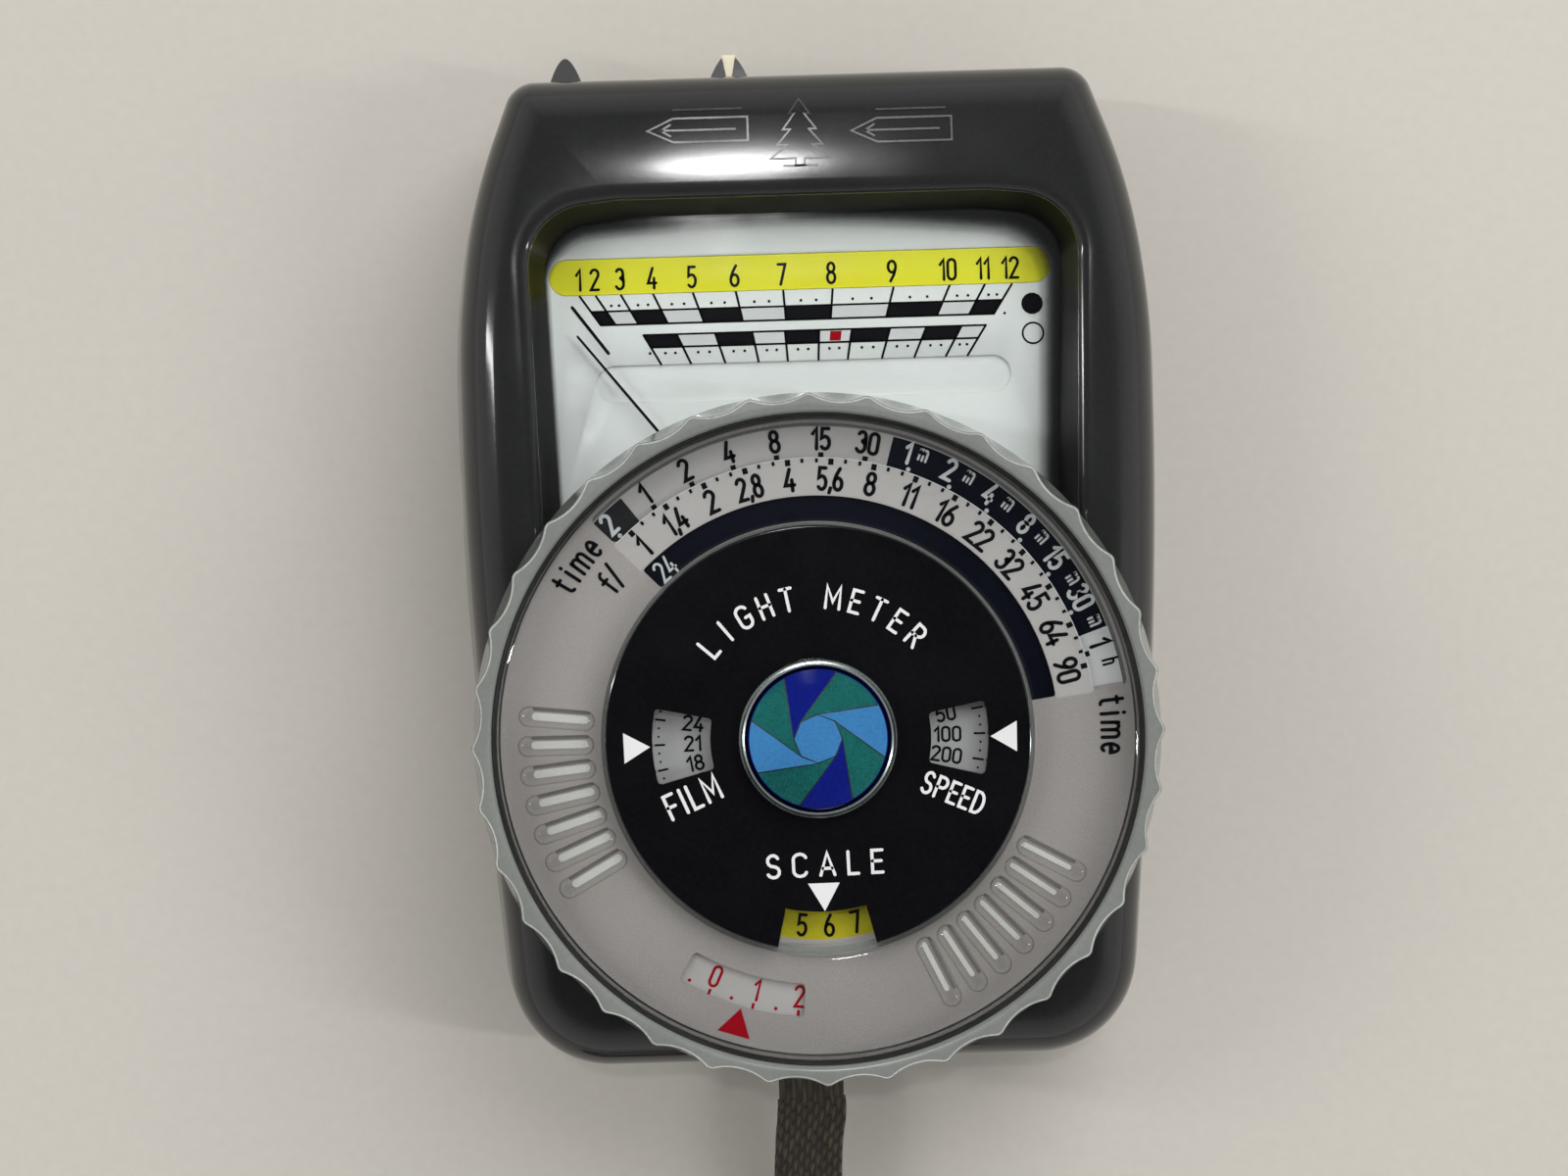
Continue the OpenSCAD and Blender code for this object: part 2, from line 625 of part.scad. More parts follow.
// ---------- strap ----------
module strap_lug() {
    color([0.15, 0.15, 0.16]) {
        translate([lug_x - 4.7, lug_y, lug_z]) rotate([0, 90, 0]) cylinder(r = 0.7, h = 9.4);
        for (s = [-1, 1]) translate([lug_x + s * 4.7, 0, lug_z]) {
            translate([0, lug_y, 0]) rotate([-90, 0, 0]) cylinder(r = 0.7, h = 5.7);
            translate([0, lug_y, 0]) sphere(r = 0.7);
        }
    }
}
module strap_end() {
    color([0.3, 0.26, 0.16]) translate([lug_x, 0, 0]) difference() {
        union() {
            translate([-3.4, lug_y, lug_z]) rotate([0, 90, 0]) cylinder(r = 1.75, h = 6.8);
            translate([-3.4, strap_from, lug_z - 1.15]) cube([6.8, 3.3, 2.3]);
        }
        translate([-6, lug_y, lug_z]) rotate([0, 90, 0]) cylinder(r = 0.75, h = 12);
    }
}
// Eight-sided flat tube along a route of [x, y, z, twist]
module strap_run(route) {
    section = [
        [0.5, 0.3], [0.4, 0.5], [-0.4, 0.5], [-0.5, 0.3], [-0.5, -0.3], [-0.4, -0.5], [0.4, -0.5], [0.5, -0.3]
    ];
    function at(i) = [route[i][0], route[i][1], route[i][2]];
    function ahead(i) = unit(at(min(i + 1, len(route) - 1)) - at(max(i - 1, 0)));
    function across(i) =
        let (t = ahead(i), side = unit(cross(t, [0, 0, 1])), up = cross(side, t), a = route[i][3])
        -side * cos(a) - up * sin(a);
    color([0.33, 0.29, 0.18]) loft([for (i = [0 : len(route) - 1])
        let (w = across(i), n = cross(ahead(i), w))
        [for (s = section) at(i) + w * s[0] * strap_w + n * s[1] * strap_t]]);
}
module strap_upper() {
    strap_run(upper_route);
}
module strap_lower() {
    strap_run(lower_route);
}
module strap_coil() {
    color([0.33, 0.29, 0.18]) translate([coil_at[0], coil_at[1], 0.1])
        rotate_extrude($fn = 96) square([coil_r, 7.4]);
}

rear_case();
front_case();
case_screws();
rear_plate();
window_pane();
scale_plate();
scale_strip();
dial_post();
wave_washer();
scalloped_ring();
time_disc();
aperture_disc();
aperture_print();
speed_print();
index_plate();
dial_screw();
badge_rim();
badge_disc();
badge_dome();
movement_yoke();
core_magnet();
movement_bridge();
pivot_jewels();
hairsprings();
moving_coil();
coil_staff();
pointer();
pointer_tail();
zero_screw();
needle_clamp();
clamp_springs();
sensor_window();
light_tube();
baffle_grid();
photocell();
cell_holder();
diffuser_carriage();
diffuser_dome();
grip_insert();
circuit_board();
trim_resistors();
range_rocker();
rocker_bracket();
rocker_pin();
rocker_contacts();
test_button();
test_spring();
test_contact_block();
battery_cap();
battery_sleeve();
battery_cells();
battery_contact();
strap_lug();
strap_end();
strap_upper();
strap_lower();
strap_coil();
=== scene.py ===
"""Looks of a handheld light meter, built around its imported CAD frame.

Lengths in this script are millimetres until they enter a mesh, which is in metres.
Dial angles are in degrees, clockwise from +Y, about the dial's centre.
"""
import math

import bmesh
import bpy
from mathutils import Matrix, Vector
from mathutils.geometry import intersect_line_line_2d


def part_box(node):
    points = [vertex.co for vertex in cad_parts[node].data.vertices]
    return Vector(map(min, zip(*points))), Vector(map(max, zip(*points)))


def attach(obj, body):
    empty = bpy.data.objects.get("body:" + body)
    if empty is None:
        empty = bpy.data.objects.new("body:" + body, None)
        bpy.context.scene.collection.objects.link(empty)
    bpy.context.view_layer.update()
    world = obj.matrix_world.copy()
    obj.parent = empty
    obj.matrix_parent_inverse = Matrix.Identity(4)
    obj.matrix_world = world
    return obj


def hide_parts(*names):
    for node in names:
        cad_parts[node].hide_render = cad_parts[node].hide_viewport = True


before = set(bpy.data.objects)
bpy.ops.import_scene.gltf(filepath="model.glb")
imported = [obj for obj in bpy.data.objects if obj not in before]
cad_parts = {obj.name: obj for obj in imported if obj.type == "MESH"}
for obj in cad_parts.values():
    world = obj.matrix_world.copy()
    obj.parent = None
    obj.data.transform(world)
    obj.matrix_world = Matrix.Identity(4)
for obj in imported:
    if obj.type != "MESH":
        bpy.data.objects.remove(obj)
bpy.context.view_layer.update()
MM = 0.001


def span(node):
    """Lowest and highest corner of a CAD node, in millimetres."""
    low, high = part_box(node)
    return low / MM, high / MM


def middle_of(node):
    low, high = span(node)
    return (low + high) / 2


def top_of(node):
    return span(node)[1].z


def reach_of(node):
    """Outer radius of a round CAD node on the dial."""
    return span(node)[1].x - DIAL[0]


# ---------------------------------------------------------------- sizes from the frame
DIAL = tuple(middle_of("scalloped_ring")[:2])
HALF_WID, HALF_LEN, PART_Z = span("rear_case")[1]
FACE_Z = top_of("front_case")
RING_R = reach_of("scalloped_ring")
CLEAR_R = reach_of("aperture_disc")
CLEAR_Z = span("aperture_disc")[0].z
CLEAR_TOP = FACE_Z + 6.4
PLATE_R = reach_of("index_plate")
PANE_TOP = top_of("window_pane")
LUG_Z = middle_of("strap_lug").z

# ---------------------------------------------------------------- design values
# the case: its wall, rounded edges and joint, and how far its front edge leans in
WALL = 2.0
FRONT_ROUND = 6.0
RIM_INSET, RIM_CURVE = 6.2, 4.9
REAR_ROUND = 4.5
SEAM = 0.22
# the ring's finger scallops, and the clear disc's ribs in two groups with their first angles
SCALLOPS = 36
SCALLOP_R = 5.2
SCALLOP_DEPTH = 0.75
RIBS = 7
RIB_PITCH = 5.9
RIB_FIRST = (-119.3, 118.9)

# thickness of a print
INK = 0.03
# angle from one stop to the next, the f-number scale's middle, and the time scale's turn against it
STEP = 9.04
SCALE_MID = 18.0
TIME_SHIFT = -2.1
FIRST_STOP = SCALE_MID - 6.5 * STEP
# inner and outer radii of the printed bands
TIME_BAND = (26.4, 29.6)
EXPOSURE_BAND = (19.9, 23.3)
F_BAND = (23.1, 26.65)
READING_BAND = (16.2, 19.45)

# corners of half the case's outline, as (x, y, radius), of the window's edges, and of the inner edge of the
# painted shadow under the pane
CASE_HALF = [
    (29, HALF_LEN, 4.5), (33.85, 37.2, 58), (HALF_WID, 24.4, 74), (HALF_WID, -0.6, 400),
    (31.3, 0.3 - HALF_LEN, 11.2),
]
CASE_POLY = CASE_HALF[::-1] + [(-x, y, r) for x, y, r in CASE_HALF]
WINDOW_IN = [(25.6, 34.1, 5), (0, 36.9, 150), (-25.6, 34.1, 5), (-24.4, 0.5, 3), (24.4, 0.5, 3)]
WINDOW_OUT = [(26.8, 35.2, 6), (0, 38, 155), (-26.8, 35.2, 6), (-25.8, -1, 3), (25.8, -1, 3)]
# the painted shadow under the pane is widest at the top and on the right
WINDOW_SHADE_EDGE = [(23.2, 31.8, 5), (0, 33.9, 150), (-25.2, 32.6, 5), (-24.0, 0.9, 3), (22.4, 0.9, 3)]
WINDOW_EYE = (0, 15)

# the strap, its coil, and its two runs from the lug into the coil, as (x, y, z, twist in degrees)
LUG_X = -1.5
STRAP_W = 7.0
STRAP_T = 1.0
STRAP_PITCH = 2.8
COIL_AT = (-16, -133.4)
COIL_INNER_START = 36.0
COIL_TURNS = 1.3
STRAP_Z = 3.6
STRAP_START = -54.9
UPPER_ROUTE = [
    (LUG_X, STRAP_START, 7.6, 0), (LUG_X, STRAP_START - 1.4, 7.6, 0), (-1.9, -60, 7.6, 0),
    (-2.1, -64, 7.5, 0), (-1.7, -68, 7.0, 20), (-0.8, -72, 5.9, 45), (0.3, -76, 4.6, 75),
    (1.0, -80, 3.9, 90), (0.7, -85, 3.6, 90), (-1.9, -90, 3.6, 90), (-5.6, -94, 3.6, 90),
    (-10, -96.5, 3.6, 90),
]
LOWER_ROUTE = [
    (LUG_X, STRAP_START, 6.4, 0), (LUG_X, STRAP_START - 1.4, 6.4, 0), (-1.9, -60, 6.3, 0),
    (-2.1, -64, 5.9, 0), (-2.5, -68, 5.2, 20), (-2.7, -72, 4.4, 45), (-2.4, -76, 3.8, 75),
    (-1.8, -80, 3.6, 90), (-2.0, -84, 3.6, 90), (-4.1, -88.5, 3.6, 90), (-7.4, -91.9, 3.6, 90),
    (-11.4, -93.9, 3.6, 90),
]


# ---------------------------------------------------------------- camera
def make_camera():
    """Looks straight down on the dial, rolled a little, as a hand-held shot of the upright meter."""
    sensor, lens, near = 36, 58.3, 0.01
    place = Vector((-2.8, -1.9, CLEAR_TOP + 239.1))
    roll = -1.7
    data = bpy.data.cameras.new("camera")
    data.sensor_width = sensor
    data.lens = lens
    data.clip_start = near
    camera = add_object("camera", data)
    camera.location = place * MM
    camera.rotation_euler.z = math.radians(roll)
    bpy.context.scene.camera = camera


# ---------------------------------------------------------------- mesh helpers
def add_object(name, data):
    obj = bpy.data.objects.new(name, data)
    bpy.context.scene.collection.objects.link(obj)
    return obj


def edit_mesh(mesh, change):
    """Runs a bmesh change on a mesh."""
    bm = bmesh.new()
    bm.from_mesh(mesh)
    change(bm)
    bm.to_mesh(mesh)
    bm.free()


def face_outwards(mesh):
    edit_mesh(mesh, lambda bm: bmesh.ops.recalc_face_normals(bm, faces=bm.faces))


def solid(verts, faces, name="tool"):
    """A plain object from points in millimetres."""
    mesh = bpy.data.meshes.new(name)
    mesh.from_pydata([Vector(v) * MM for v in verts], [], faces)
    face_outwards(mesh)
    return add_object(name, mesh)


def new_object(name, verts, faces, look, body, slot, angle=32):
    """A visible piece from points in millimetres."""
    return dress(solid(verts, faces, name), look, body, angle)


def dress(obj, look, body, angle=32):
    face_outwards(obj.data)
    obj.data.materials.clear()
    obj.data.materials.append(LOOK[look])
    smooth(obj.data, angle)
    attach(obj, body)
    return obj


def smooth(mesh, angle):
    """Smooth shading, but for edges sharper than the angle."""
    mesh.shade_smooth()
    mesh.set_sharp_from_angle(angle=math.radians(angle))


def polar(r, a):
    """Point at radius r and clockwise angle a on the dial."""
    t = math.radians(a)
    return (DIAL[0] + r * math.sin(t), DIAL[1] + r * math.cos(t))


def inset_corner(poly, i, d):
    a, b, c = (Vector(poly[(i + k) % len(poly)][:2]) for k in (-1, 0, 1))
    n1, n2 = ((q - p).normalized().orthogonal() for p, q in ((a, b), (b, c)))
    return b + (n1 + n2) * d / (1 + n1.dot(n2))


def rounded(poly, d=0.0):
    """A counter-clockwise convex polygon moved inwards by d, its corners rounded by their radii."""
    steps = 20
    out = []
    for i in range(len(poly)):
        b = inset_corner(poly, i, d)
        u = (inset_corner(poly, (i - 1) % len(poly), d) - b).normalized()
        w = (inset_corner(poly, (i + 1) % len(poly), d) - b).normalized()
        r = max(poly[i][2] - d, 0.4)
        half = math.acos(max(-1, min(1, u.dot(w)))) / 2
        centre = b + (u + w).normalized() * r / math.sin(half)
        start = u.orthogonal()
        sweep = math.pi - 2 * half
        out += [centre + turned(start, sweep * j / steps) * r for j in range(steps + 1)]
    return out


def by_rays(loop, toward):
    """Points of a closed loop that lie on the rays from the window's eye through the given points."""
    eye = Vector(WINDOW_EYE)
    out = []
    for p in toward:
        far = eye + (Vector(p[:2]) - eye) * 3
        hit = None
        for a, b in zip(loop, loop[1:] + loop[:1]):
            hit = intersect_line_line_2d(eye, far, a, b) if a != b else None
            if hit:
                break
        out.append(hit or out[-1])
    return out


def skin(rings, caps=False, close=False):
    """Faces through rings of equal length, as (points, faces)."""
    n = len(rings[0])
    verts = [p for ring in rings for p in ring]
    faces = []
    last = len(rings) if close else len(rings) - 1
    for k in range(last):
        a, b = k * n, (k + 1) % len(rings) * n
        faces += [(a + i, a + (i + 1) % n, b + (i + 1) % n, b + i) for i in range(n)]
    if caps:
        faces.append(tuple(reversed(range(n))))
        faces.append(tuple(range(len(verts) - n, len(verts))))
    return verts, faces


def joined(parts):
    """Several (points, faces) as one."""
    verts, faces = [], []
    for more_verts, more_faces in parts:
        faces += [tuple(len(verts) + i for i in face) for face in more_faces]
        verts += more_verts
    return verts, faces


def turned(point, t):
    """A vector in the plane, turned by an angle in radians."""
    c, s = math.cos(t), math.sin(t)
    return Vector((point.x * c - point.y * s, point.x * s + point.y * c))


def lathe(profile, segments=256, radius=None):
    """Closed profile of (r, z, weight) turned about the dial's axis. radius(r, angle, weight) may shape it.

    Long flats get a close loop near each end, so that their shading stays flat.
    """
    long_flat, margin = 0.6, 0.05
    held = []
    for a, b in zip(profile, profile[1:] + profile[:1]):
        held.append(a)
        gap = math.dist(a[:2], b[:2])
        if gap > long_flat:
            shares = (margin / gap, 1 - margin / gap)
            held += [tuple(p + (q - p) * f for p, q in zip(a, b)) for f in shares]
    rings = []
    for r, z, *w in held:
        ring = []
        for i in range(segments):
            t = 2 * math.pi * i / segments
            q = radius(r, t, w[0]) if radius else r
            ring.append((DIAL[0] + q * math.cos(t), DIAL[1] + q * math.sin(t), z))
        rings.append(ring)
    return skin(rings, close=True)


def soften(loop, r):
    """The loop with its sharp corners rounded by r."""
    sharp = math.radians(35)
    steps = [j / 5 for j in range(6)]
    points = [Vector(p) for p in loop]
    sides = []
    for i, p in enumerate(points):
        after = points[(i + 1) % len(points)]
        sides.append(((points[i - 1] - p).normalized(), (after - p).normalized()))
    turns = [math.pi - math.acos(max(-1, min(1, u.dot(w)))) for u, w in sides]
    corners = {i: r * math.tan(t / 2) for i, t in enumerate(turns) if t > sharp}
    out = []
    for i, b in enumerate(points):
        if i in corners:
            u, w = sides[i]
            p, q = b + u * corners[i], b + w * corners[i]
            out += [tuple(p * (1 - t) ** 2 + b * 2 * t * (1 - t) + q * t * t) for t in steps]
        elif all((b - points[j]).length > cut * 1.05 for j, cut in corners.items()):
            out.append(tuple(b))
    return out


def sector(r1, r2, a1, a2):
    """Outline between two radii and two angles on the dial, with a point each degree."""
    n = max(2, round(abs(a2 - a1)))
    angles = [a1 + (a2 - a1) * i / n for i in range(n + 1)]
    return [polar(r2, a) for a in angles] + [polar(r1, a) for a in reversed(angles)]


def circle(r, centre=DIAL, n=128):
    turns = [2 * math.pi * i / n for i in range(n)]
    return [(centre[0] + r * math.cos(t), centre[1] + r * math.sin(t)) for t in turns]


def flat_plate(name, loops, z0, z1, bevel, look, body, slot):
    """A flat plate between two heights. The first loop is its outline, the others are holes."""
    curve = bpy.data.curves.new(name, "CURVE")
    curve.dimensions = "2D"
    curve.fill_mode = "BOTH"
    for loop in loops:
        spline = curve.splines.new("POLY")
        spline.points.add(len(loop) - 1)
        for point, (x, y) in zip(spline.points, loop):
            point.co = (x, y, 0, 1)
        spline.use_cyclic_u = True
    curve.extrude = (z1 - z0) / 2 - bevel
    curve.bevel_depth = bevel
    curve.bevel_resolution = 2
    curve.offset = -bevel
    shape = add_object(name, curve)
    mesh = bpy.data.meshes.new_from_object(shape.evaluated_get(bpy.context.evaluated_depsgraph_get()))
    bpy.data.objects.remove(shape)
    mesh.name = name
    for v in mesh.vertices:
        v.co = (v.co + Vector((0, 0, (z0 + z1) / 2))) * MM
    edit_mesh(mesh, lambda bm: bmesh.ops.remove_doubles(bm, verts=bm.verts, dist=0.002 * MM))
    return dress(add_object(name, mesh), look, body, 20)


def prism(loop, z0, z1):
    return solid(*skin([[(x, y, z) for x, y in loop] for z in (z0, z1)], caps=True))


def block(x0, x1, y0, y1, z0, z1):
    return prism([(x0, y0), (x1, y0), (x1, y1), (x0, y1)], z0, z1)


def rod(p, q, r, n=64):
    """Closed cylinder between two points."""
    p, q = Vector(p), Vector(q)
    axis = (q - p).normalized()
    u = axis.orthogonal().normalized()
    v = axis.cross(u)
    turns = [2 * math.pi * i / n for i in range(n)]
    rings = [[e + (u * math.cos(t) + v * math.sin(t)) * r for t in turns] for e in (p, q)]
    return solid(*skin(rings, caps=True))


def combine(obj, tools, operation):
    """Cuts the tools from the object, or joins them to it, and deletes them."""
    for tool in tools:
        change = obj.modifiers.new("change", "BOOLEAN")
        change.operation = operation
        change.solver = "EXACT"
        change.object = tool
        shape = obj.evaluated_get(bpy.context.evaluated_depsgraph_get())
        mesh = bpy.data.meshes.new_from_object(shape)
        obj.modifiers.clear()
        obj.data = mesh
        bpy.data.objects.remove(tool)
    return obj


# ---------------------------------------------------------------- materials
def shade(color, k):
    return tuple(max(0, min(1, c * k)) for c in color) + (1,)


def start_material(name):
    material = bpy.data.materials.new(name)
    material.use_nodes = True
    tree = material.node_tree
    return material, tree, tree.nodes["Principled BSDF"]


def node(tree, kind, inputs=None, **attributes):
    """A node with its attributes set, and its inputs set or linked."""
    made = tree.nodes.new(kind)
    for key, value in attributes.items():
        setattr(made, key, value)
    for key, value in (inputs or {}).items():
        if isinstance(value, bpy.types.NodeSocket):
            tree.links.new(value, made.inputs[key])
        else:
            made.inputs[key].default_value = value
    return made


def ramp(tree, factor, stops):
    made = node(tree, "ShaderNodeValToRGB", {"Fac": factor})
    points = made.color_ramp.elements
    while len(points) < len(stops):
        points.new(0.5)
    for point, (place, color) in zip(points, stops):
        point.position = place
        point.color = color
    return made.outputs["Color"]


def value_range(tree, factor, low, high):
    """The middle of a noise stretched over a range of values."""
    sockets = {"Value": factor, "From Min": 0.3, "From Max": 0.7, "To Min": low, "To Max": high}
    return node(tree, "ShaderNodeMapRange", sockets).outputs["Result"]


def noise(tree, size, detail=3.0, stretch=(1, 1, 1), seed=0.0):
    """Noise whose grain is size millimetres, longer where stretch is above 1."""
    place = node(tree, "ShaderNodeTexCoord").outputs["Object"]
    scale = tuple(1 / (size * MM * s) for s in stretch)
    sockets = {"Vector": place, "Location": (seed, seed, seed), "Scale": scale}
    scaled = node(tree, "ShaderNodeMapping", sockets).outputs["Vector"]
    made = node(tree, "ShaderNodeTexNoise", {"Vector": scaled, "Scale": 1.0, "Detail": detail})
    return made.outputs["Fac"]


def calc(tree, operation, a, b=0.0, c=0.0):
    return node(tree, "ShaderNodeMath", {0: a, 1: b, 2: c}, operation=operation).outputs[0]


def add_bump(tree, bsdf, height, depth):
    made = node(tree, "ShaderNodeBump", {"Height": height, "Strength": 1.0, "Distance": depth * MM})
    tree.links.new(made.outputs["Normal"], bsdf.inputs["Normal"])


def blend(tree, amount, first, second):
    """Makes the material's surface from two shaders: amount 0 gives the first."""
    mix = node(tree, "ShaderNodeMixShader", {0: amount, 1: first.outputs[0], 2: second.outputs[0]})
    tree.links.new(mix.outputs[0], tree.nodes["Material Output"].inputs["Surface"])


def surface(name, color, rough, metal=0.0, grain=0.3, vary=0.08, bump=0.001, patch=8.0, coat=0.0, soft=0.0,
            stretch=(1, 1, 1), shine=0.5):
    """A finish with fine grain in its colour and bump, and broad patches in its roughness.

    grain, bump and patch are in millimetres, vary is how much the grain changes the colour.
    """
    material, tree, bsdf = start_material(name)
    fine = noise(tree, grain, stretch=stretch)
    broad = noise(tree, patch, detail=5.0, seed=3.7)
    half = calc(tree, "MULTIPLY", calc(tree, "ADD", fine, broad), 0.5)
    color_ramp = ramp(tree, half, [(0.35, shade(color, 1 - vary)), (0.65, shade(color, 1 + vary))])
    tree.links.new(color_ramp, bsdf.inputs["Base Color"])
    tree.links.new(value_range(tree, broad, rough * 0.75, rough * 1.25), bsdf.inputs["Roughness"])
    values = {"Metallic": metal, "Specular IOR Level": shine, "Coat Weight": coat, "Coat Roughness": 0.12}
    if soft:
        values["Subsurface Weight"] = soft
        values["Subsurface Radius"] = (1.0, 0.95, 0.85)
        values["Subsurface Scale"] = 1.2 * MM
    for key, value in values.items():
        bsdf.inputs[key].default_value = value
    add_bump(tree, bsdf, fine, bump)
    return material


def clear_material(name, tint, edge, gloss=0.03, facing=0.35):
    """Clear acrylic that light goes straight through. Edges seen at a slant are darker, and it shines."""
    material, tree, bsdf = start_material(name)
    tree.nodes.remove(bsdf)
    slant = node(tree, "ShaderNodeLayerWeight", {"Blend": facing})
    color = ramp(tree, slant.outputs["Facing"], [(0.35, tint + (1,)), (0.95, edge + (1,))])
    through = node(tree, "ShaderNodeBsdfTransparent", {"Color": color})
    smear = value_range(tree, noise(tree, 6.0, detail=4.0), gloss * 0.6, gloss * 1.6)
    shine = node(tree, "ShaderNodeBsdfGlossy", {"Color": (1, 1, 1, 1), "Roughness": smear})
    graze = node(tree, "ShaderNodeLayerWeight", {"Blend": 0.5})
    steep = calc(tree, "POWER", graze.outputs["Facing"], 5.0)
    blend(tree, calc(tree, "MULTIPLY_ADD", steep, 0.96, 0.04), through, shine)
    return material


def fade_material(name):
    """Painted shadow: black that thins out to nothing along U of the piece's UV map."""
    material, tree, bsdf = start_material(name)
    bsdf.inputs["Base Color"].default_value = (0.004, 0.004, 0.004, 1)
    bsdf.inputs["Roughness"].default_value = 0.6
    uv = node(tree, "ShaderNodeUVMap", uv_map="fade")
    split = node(tree, "ShaderNodeSeparateXYZ", {"Vector": uv.outputs["UV"]})
    spread = calc(tree, "MULTIPLY_ADD", noise(tree, 0.6), 0.06, split.outputs["X"])
    levels = ((0.25, 0.0), (0.5, 0.35), (0.75, 0.8), (1.0, 1.0))
    clear = ramp(tree, spread, [(place, (level, level, level, 1)) for place, level in levels])
    blend(tree, clear, bsdf, node(tree, "ShaderNodeBsdfTransparent"))
    return material


def weave_material(name, dark, light):
    """Flat braided tape of slanted stitches in wales, from the UV map (across, along) in millimetres."""
    material, tree, bsdf = start_material(name)
    wale, stitch, slip, slant = 0.58, 1.5, 0.62, 0.55

    def work(operation, *values):
        return calc(tree, operation, *values)

    def hump(value):
        return work("SINE", work("MULTIPLY", work("FRACT", value), math.pi))

    uv = node(tree, "ShaderNodeUVMap", uv_map="strap")
    split = node(tree, "ShaderNodeSeparateXYZ", {"Vector": uv.outputs["UV"]})
    across = work("DIVIDE", split.outputs["X"], wale)
    column = work("FLOOR", across)
    along = work("ADD", work("DIVIDE", split.outputs["Y"], stitch), work("MULTIPLY", column, slip))
    yarn = hump(work("ADD", across, work("MULTIPLY", work("FRACT", along), slant)))
    height = work("MULTIPLY", yarn, work("POWER", hump(along), 0.6))
    cell = node(tree, "ShaderNodeCombineXYZ", {"X": column, "Y": work("FLOOR", along)})
    chance = node(tree, "ShaderNodeTexWhiteNoise", {"Vector": cell.outputs[0]}, noise_dimensions="3D")
    fibre = noise(tree, 0.12, detail=4.0)
    tone = work("MULTIPLY_ADD", chance.outputs["Value"], 0.3, work("MULTIPLY", height, 0.62))
    tone = work("ADD", tone, work("MULTIPLY", work("SUBTRACT", fibre, 0.5), 0.5))
    stops = [(0.08, shade(dark, 0.45)), (0.45, shade(dark, 1.0)), (0.95, shade(light, 1.0))]
    tree.links.new(ramp(tree, tone, stops), bsdf.inputs["Base Color"])
    for key, value in {"Roughness": 0.78, "Sheen Weight": 0.35, "Sheen Roughness": 0.4}.items():
        bsdf.inputs[key].default_value = value
    add_bump(tree, bsdf, work("ADD", height, work("MULTIPLY", fibre, 0.25)), 0.22)
    return material


